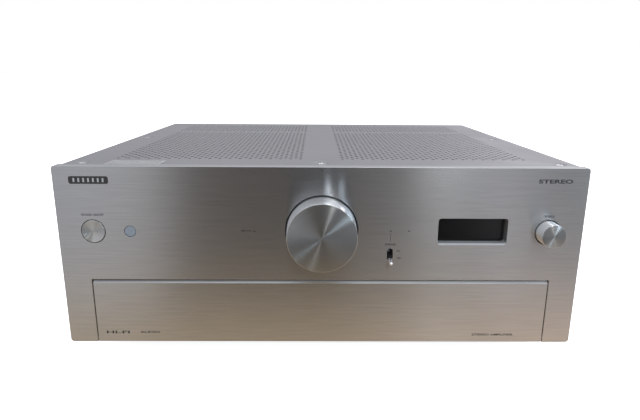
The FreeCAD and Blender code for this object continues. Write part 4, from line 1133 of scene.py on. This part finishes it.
# Radiance of the room by compass angle in degrees: 0 is straight out in front of the panel,
# positive to the right, 180 straight behind. The middle in front is dim.
ROOM = ((-180, 0.33, 0.33, 0.34), (-168, 0.55, 0.55, 0.57), (-158, 0.26, 0.26, 0.28),
        (-120, 0.34, 0.34, 0.36), (-90, 0.62, 0.63, 0.66), (-70, 0.95, 0.96, 1.00),
        (-45, 0.95, 0.97, 1.02), (-33, 0.72, 0.74, 0.80), (-25, 0.87, 0.89, 0.95),
        (-19, 0.87, 0.88, 0.90), (-16.5, 0.60, 0.59, 0.60), (-14, 0.18, 0.17, 0.16),
        (-10, 0.145, 0.13, 0.125), (-4, 0.115, 0.108, 0.104), (1, 0.095, 0.092, 0.09),
        (5, 0.22, 0.22, 0.225), (8.5, 0.27, 0.27, 0.28), (12, 0.09, 0.095, 0.10),
        (16, 0.22, 0.23, 0.25), (19.5, 0.90, 0.92, 0.98), (23.5, 0.60, 0.61, 0.64),
        (28, 0.39, 0.41, 0.43), (40, 0.33, 0.35, 0.39), (90, 0.60, 0.61, 0.64),
        (150, 1.40, 1.34, 1.48), (160, 1.25, 1.20, 1.31), (168, 0.40, 0.39, 0.43),
        (180, 0.33, 0.33, 0.34))
CEILING = (1.10, 1.13, 1.18)
ROOM_RISE = (-0.50, -0.14, 0.3, 1.06)  # from looking down at the room's dim foot to its full light
CEILING_RISE = (0.40, 0.75)


def room():
    """World light from the room's table; the camera itself sees plain white."""
    world = bpy.data.worlds.new("room")
    bpy.context.scene.world = world
    world.use_nodes = True
    nodes = Nodes(world.node_tree)
    across, back, up = nodes.split(nodes.coordinates("Generated"))
    angle = nodes.math("ARCTAN2", across, nodes.math("MULTIPLY", back, -1.0))
    share = nodes.math("MULTIPLY_ADD", angle, 0.5 / math.pi, 0.5)
    ramp = nodes.add("ShaderNodeValToRGB")
    nodes.link(share, ramp.inputs[0])
    stops = ramp.color_ramp.elements
    while len(stops) < len(ROOM):
        stops.new(0.5)
    for stop, look in zip(stops, ROOM):
        stop.position = 0.5 + look[0] / 360.0
    for stop, look in zip(stops, ROOM):
        stop.color = rgba(look[1:])
    walls = nodes.mix(1.0, ramp.outputs[0], nodes.ramp(up, *ROOM_RISE), "MULTIPLY")
    high = nodes.ramp(up, *CEILING_RISE)
    surroundings = nodes.call("ShaderNodeBackground", nodes.mix(high, walls, rgba(CEILING)))
    plain = nodes.call("ShaderNodeBackground", rgba(WHITE))
    seen = nodes.add("ShaderNodeLightPath").outputs["Is Camera Ray"]
    nodes.finish(nodes.call("ShaderNodeMixShader", seen, surroundings, plain), "World")


def softbox(name, place, target, size, watts, colour=WHITE):
    """Rectangular lamp at a place, turned to a target, both in the row frame."""
    light = bpy.data.lights.new(name, "AREA")
    light.shape = "RECTANGLE"
    light.size, light.size_y = size
    light.energy = watts
    light.color = colour
    obj = add_object(name, light)
    obj.location = place
    obj.rotation_euler = (Vector(target) - Vector(place)).to_track_quat("-Z", "Y").to_euler()


def camera():
    """Seen from in front, above the panel's top edge, nearly square on and close by."""
    place = at(-5.8, -420.64, 227.37)
    pitch, yaw, roll = 0.2516, -0.0101, 0.0066
    data = bpy.data.cameras.new("camera")
    data.sensor_width = 36.0
    data.lens = 29.815
    obj = add_object("camera", data)
    forward = Vector((-math.sin(yaw) * math.cos(pitch), math.cos(yaw) * math.cos(pitch),
                      -math.sin(pitch)))
    across = Vector((math.cos(yaw), math.sin(yaw), 0.0))
    up = across.cross(forward)
    right = across * math.cos(roll) + up * math.sin(roll)
    upward = up * math.cos(roll) - across * math.sin(roll)
    matrix = Matrix((right, upward, -forward)).transposed().to_4x4()
    matrix.translation = place
    obj.matrix_world = matrix
    bpy.context.scene.camera = obj


studio()
room()
softbox("key_light", (0.47, -1.53, 0.95), (0.0, -0.19, 0.12), (0.18, 0.2), 3.2, (0.97, 0.99, 1.0))
softbox("window_light", (1.17, -1.42, 0.53), (0.0, -0.19, 0.12), (0.25, 0.35), 6.0, (0.70, 0.86, 1.0))
softbox("right_lamp", (1.09, 0.13, 1.22), (0.0, -0.15, 0.1), (0.15, 0.15), 4.1)
softbox("over_lamp", (0.40, -0.10, 1.65), (0.0, -0.19, 0.1), (0.14, 0.14), 2.0)
camera()
bpy.context.scene.view_settings.view_transform = "Standard"
